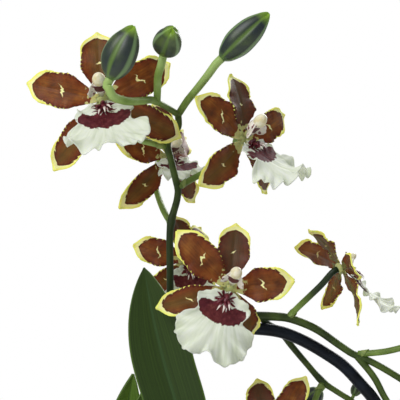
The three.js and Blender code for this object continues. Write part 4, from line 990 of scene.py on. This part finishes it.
bud_curve = smooth_route([(radius, 0, height) for radius, height in BUD_PROFILE], 0.04)
for index, bud in enumerate(BUDS):
    start, end = Vector(bud["from"]), Vector(bud["to"])
    tall = (end - start).length
    bud_shape = bmesh.new()
    marks = bud_shape.verts.layers.float_vector.new("bud")
    outline = [(0, 0)] + [(max(0.0, p.x) * bud["radius"], p.z * tall) for p in bud_curve[:-1]] + [(0, tall)]
    spin_profile(bud_shape, outline, 54)
    for corner in bud_shape.verts:
        along = corner.co.z / tall
        full = math.sin(math.pi * min(1.0, max(0.0, along))) ** 0.5
        keeled = math.cos(3 * (math.atan2(corner.co.y, corner.co.x) + index))
        seam = max(0.0, -keeled) ** 8
        swell = 1 + (0.07 * keeled - 0.08 * seam) * full
        corner[marks] = ((keeled + 1) / 2, along, seam)
        corner.co.x *= swell
        corner.co.y *= swell
        corner.co.z += 0.9 * smoothstep(along, 0.86, 0.96) * keeled * (1 - smoothstep(along, 0.975, 1.0))
    aim = Matrix.Translation(start) @ (end - start).to_track_quat("Z", "Y").to_matrix().to_4x4()
    finish_piece(bud_shape, bud["node"] + "_sepals", [bud_skin], "bud", bud["node"], to_plant=aim)


# Flower spike: one grown stem. It stands beside the hoop, rides over its top and forks, and every bloom and
# bud hangs on a stalk of its own. Joints are slightly swollen and wrapped by a small pointed bract.
SPIKE_RADIUS = 2.5
BRANCH_RADIUS = 1.8
PEDICEL_RADIUS = 1.6
BUD_STALK_RADIUS = 2.2
BRACT_LENGTH = 4
BRACT_THICKNESS = 0.25
BRACT_WRAP = 160
SPIKE_ROUTE = [
    (-49.5, 12, 94), (-48.6, 12, 140), (-44.6, 12, 210), (-40.5, 12, 275), (-39, 12, 323.8), (-39.2, 12, 339),
    (-38.2, 12, 351.6), (-33.6, 12, 360.2), (-25.5, 12, 364.8), (-11.3, 12, 366.3), (3.8, 12, 366.3),
    (14.5, 12, 366), (21, 12, 365.2), (34.2, 12, 360), (46.8, 12, 351.4), (53.4, 12, 347.1), (62, 12, 343.5),
    (71.1, 12, 338.5), (84, 14, 330), (98, 16, 318), (108, 24, 304), (114, 30, 290),
]
UPRIGHT_ROUTE = [
    (-38.6, 12, 349), (-39.4, 11, 365.4), (-39.1, 10, 378.5), (-39.1, 9, 391.2), (-39.1, 8, 408.9),
    (-38.1, 8, 415.9), (-35.6, 8, 425), (-35.1, 8, 430), (-36.1, 8, 434.6), (-38.6, 7, 445.1),
    (-40.6, 7, 453.6), (-38.5, 6.5, 457.6), (-35, 6, 461.6), (-35, 5, 468.6),
]
BEHIND_HOOP_ROUTE = [
    (7, 12.5, 365.5), (10.5, 17, 362), (16.8, 21, 358.1), (22.5, 22, 350.9), (30.2, 22, 341.7),
    (38.9, 22, 332), (45.5, 22, 327.4), (52.7, 22, 322.8), (59.6, 26, 317), (64, 30, 309), (67, 33, 300),
]
RIGHT_BRANCH_ROUTE = [
    (55, 12, 346.5), (64.1, 13, 335.3), (69.3, 14, 325.6), (76, 17, 315), (84, 20, 304), (90, 21, 292),
]
BUD_FORK_ROUTE = [(-35, 5, 467.8), (-39.9, -2, 470.9), (-45.2, -12, 473.4)]
# Each stem: its route, its radius at both ends, its joints (share of its length, reach), and its tone at
# both ends, from dark to light
STEMS = [
    (SPIKE_ROUTE, SPIKE_RADIUS * 1.15, BRANCH_RADIUS * 0.85, [(0.64, 0.12)], (0.25, 0.5), 20),
    (UPRIGHT_ROUTE, BRANCH_RADIUS * 1.05, BRANCH_RADIUS * 0.95, [(0.53, 0.03), (0.85, 0.03)],
     (0.05, 0.6), 20),
    (BEHIND_HOOP_ROUTE, BRANCH_RADIUS, BRANCH_RADIUS * 0.75, [(0.5, 0.04)], (0.4, 0.6), 16),
    (RIGHT_BRANCH_ROUTE, BRANCH_RADIUS, BRANCH_RADIUS * 0.8, [(0.5, 0.04)], (0.5, 0.6), 16),
    (BUD_FORK_ROUTE, BRANCH_RADIUS * 0.9, BRANCH_RADIUS * 0.85, [], (0.7, 0.8), 16),
]

# Rind of a green stem: smooth and waxy over wet tissue, clouded, dark where it is old and light on new
# stalks, and darkened by painted shade on bloom F's stalk where it meets its bloom
rind, tree, surface = material("flower_stem_rind")
rind_tone_and_shade = add(tree, "Attribute", attribute_name="tone").outputs["Fac"]
cloud = object_noise(tree, 90, 4)
uneven = add(tree, "MapRange", (cloud, 0.3, 0.7, -0.14, 0.14))
rind_level = add(tree, "Math", (uneven, rind_tone_and_shade), operation="ADD")
RIND_HUES = [(0.0, "#12240a"), (0.35, "#2c3c16"), (0.65, "#5a6f2b"), (0.85, "#819c48"), (1.0, "#9cb568")]
feed(surface, {
    "Base Color": add(tree, "ValToRGB", (rind_level,), stops=RIND_HUES),
    "Normal": add(tree, "Bump", {"Height": cloud, "Strength": 0.3, "Distance": 0.0003}),
    "Roughness": 0.45, "Specular IOR Level": 0.3,
    "Subsurface Weight": 0.1, "Subsurface Radius": (0.001, 0.002, 0.0005),
})

# Bract: a scale leaf drying to paper, pale green-brown, matt and finely flecked
bract, tree, surface = material("papery_bract")
flecks = add(tree, "ValToRGB", (object_noise(tree, 500, 3),), stops=[(0.3, "#66803a"), (0.7, "#8f9c52")])
feed(surface, {"Base Color": flecks, "Roughness": 0.6})


def ease_radius(start, end, joints=()):
    """A radius that runs from one end to the other, swollen a little at the joints."""
    def at_share(share):
        bulge = sum(0.2 * math.exp(-((share - place) / reach) ** 2) for place, reach in joints)
        return (start + (end - start) * share) * (1 + bulge)
    return at_share


def wrap_bract(shape, place, towards, radius):
    """A small pointed scale that wraps a stem at a joint and ends free of it."""
    up = (Vector(towards) - Vector(place)).normalized()
    foot = Vector(place) + up * BRANCH_RADIUS
    side = Matrix.Rotation(0.6, 3, up) @ up.orthogonal().normalized()
    other = up.cross(side)
    scale = bmesh.ops.create_grid(shape, x_segments=12, y_segments=10, size=1)["verts"]
    for corner in scale:
        across, along = corner.co.x, (corner.co.y + 1) / 2
        angle = across * (math.radians(BRACT_WRAP) * (1 - along ** 1.4) + 0.03)
        around = (side * math.cos(angle) + other * math.sin(angle)) * (radius + 0.2 + 0.35 * along ** 2)
        corner.co = (foot + up * along * BRACT_LENGTH + around) * MM
    faces = list({face for corner in scale for face in corner.link_faces})
    made = bmesh.ops.solidify(shape, geom=faces, thickness=BRACT_THICKNESS * MM)
    faces = {item for item in made["geom"] if isinstance(item, bmesh.types.BMFace)}
    for face in faces.union(*(corner.link_faces for corner in scale)):
        face.material_index = 1


spike_shape = bmesh.new()
for route, start, end, joints, tone, sides in STEMS:
    sweep_tube(spike_shape, smooth_route(route, 2), ease_radius(start, end, joints), sides, tone)
for bloom in BLOOMS:
    seat = DISC_BACK * bloom["size"] + SEAT_GAP
    ends = [tuple(bloom_frame(bloom) @ Vector((0, 0, -seat + past))) for past in (-1.6, 1.2)]
    radius = ease_radius(PEDICEL_RADIUS, PEDICEL_RADIUS * 1.05)
    # A stalk is light and new unless its bloom gives its own tones; bloom F's fall to painted shade at the
    # bloom.
    tone = bloom.get("stalk_tone_and_shade", (0.75, 0.95))
    sweep_tube(spike_shape, smooth_route(bloom["stalk"] + ends, 1.6), radius, 14, tone)
    wrap_bract(spike_shape, bloom["stalk"][0], bloom["stalk"][1], PEDICEL_RADIUS)
for bud in BUDS:
    start, end = Vector(bud["from"]), Vector(bud["to"])
    away = (end - start).normalized()
    thick = min(BUD_STALK_RADIUS, bud["radius"] * 0.3)
    ends = [tuple(start - away * (SEAT_GAP + bud["radius"] * 0.4)), tuple(start + away * 0.6)]
    radius = ease_radius(min(BRANCH_RADIUS, thick), thick)
    sweep_tube(spike_shape, smooth_route(bud["stalk"] + ends, 1.6), radius, 14, (0.75, 1.0))
bmesh.ops.recalc_face_normals(spike_shape, faces=spike_shape.faces[:])
finish_piece(spike_shape, "grown_flower_spike", [rind, bract], "stem", "flower_spike")
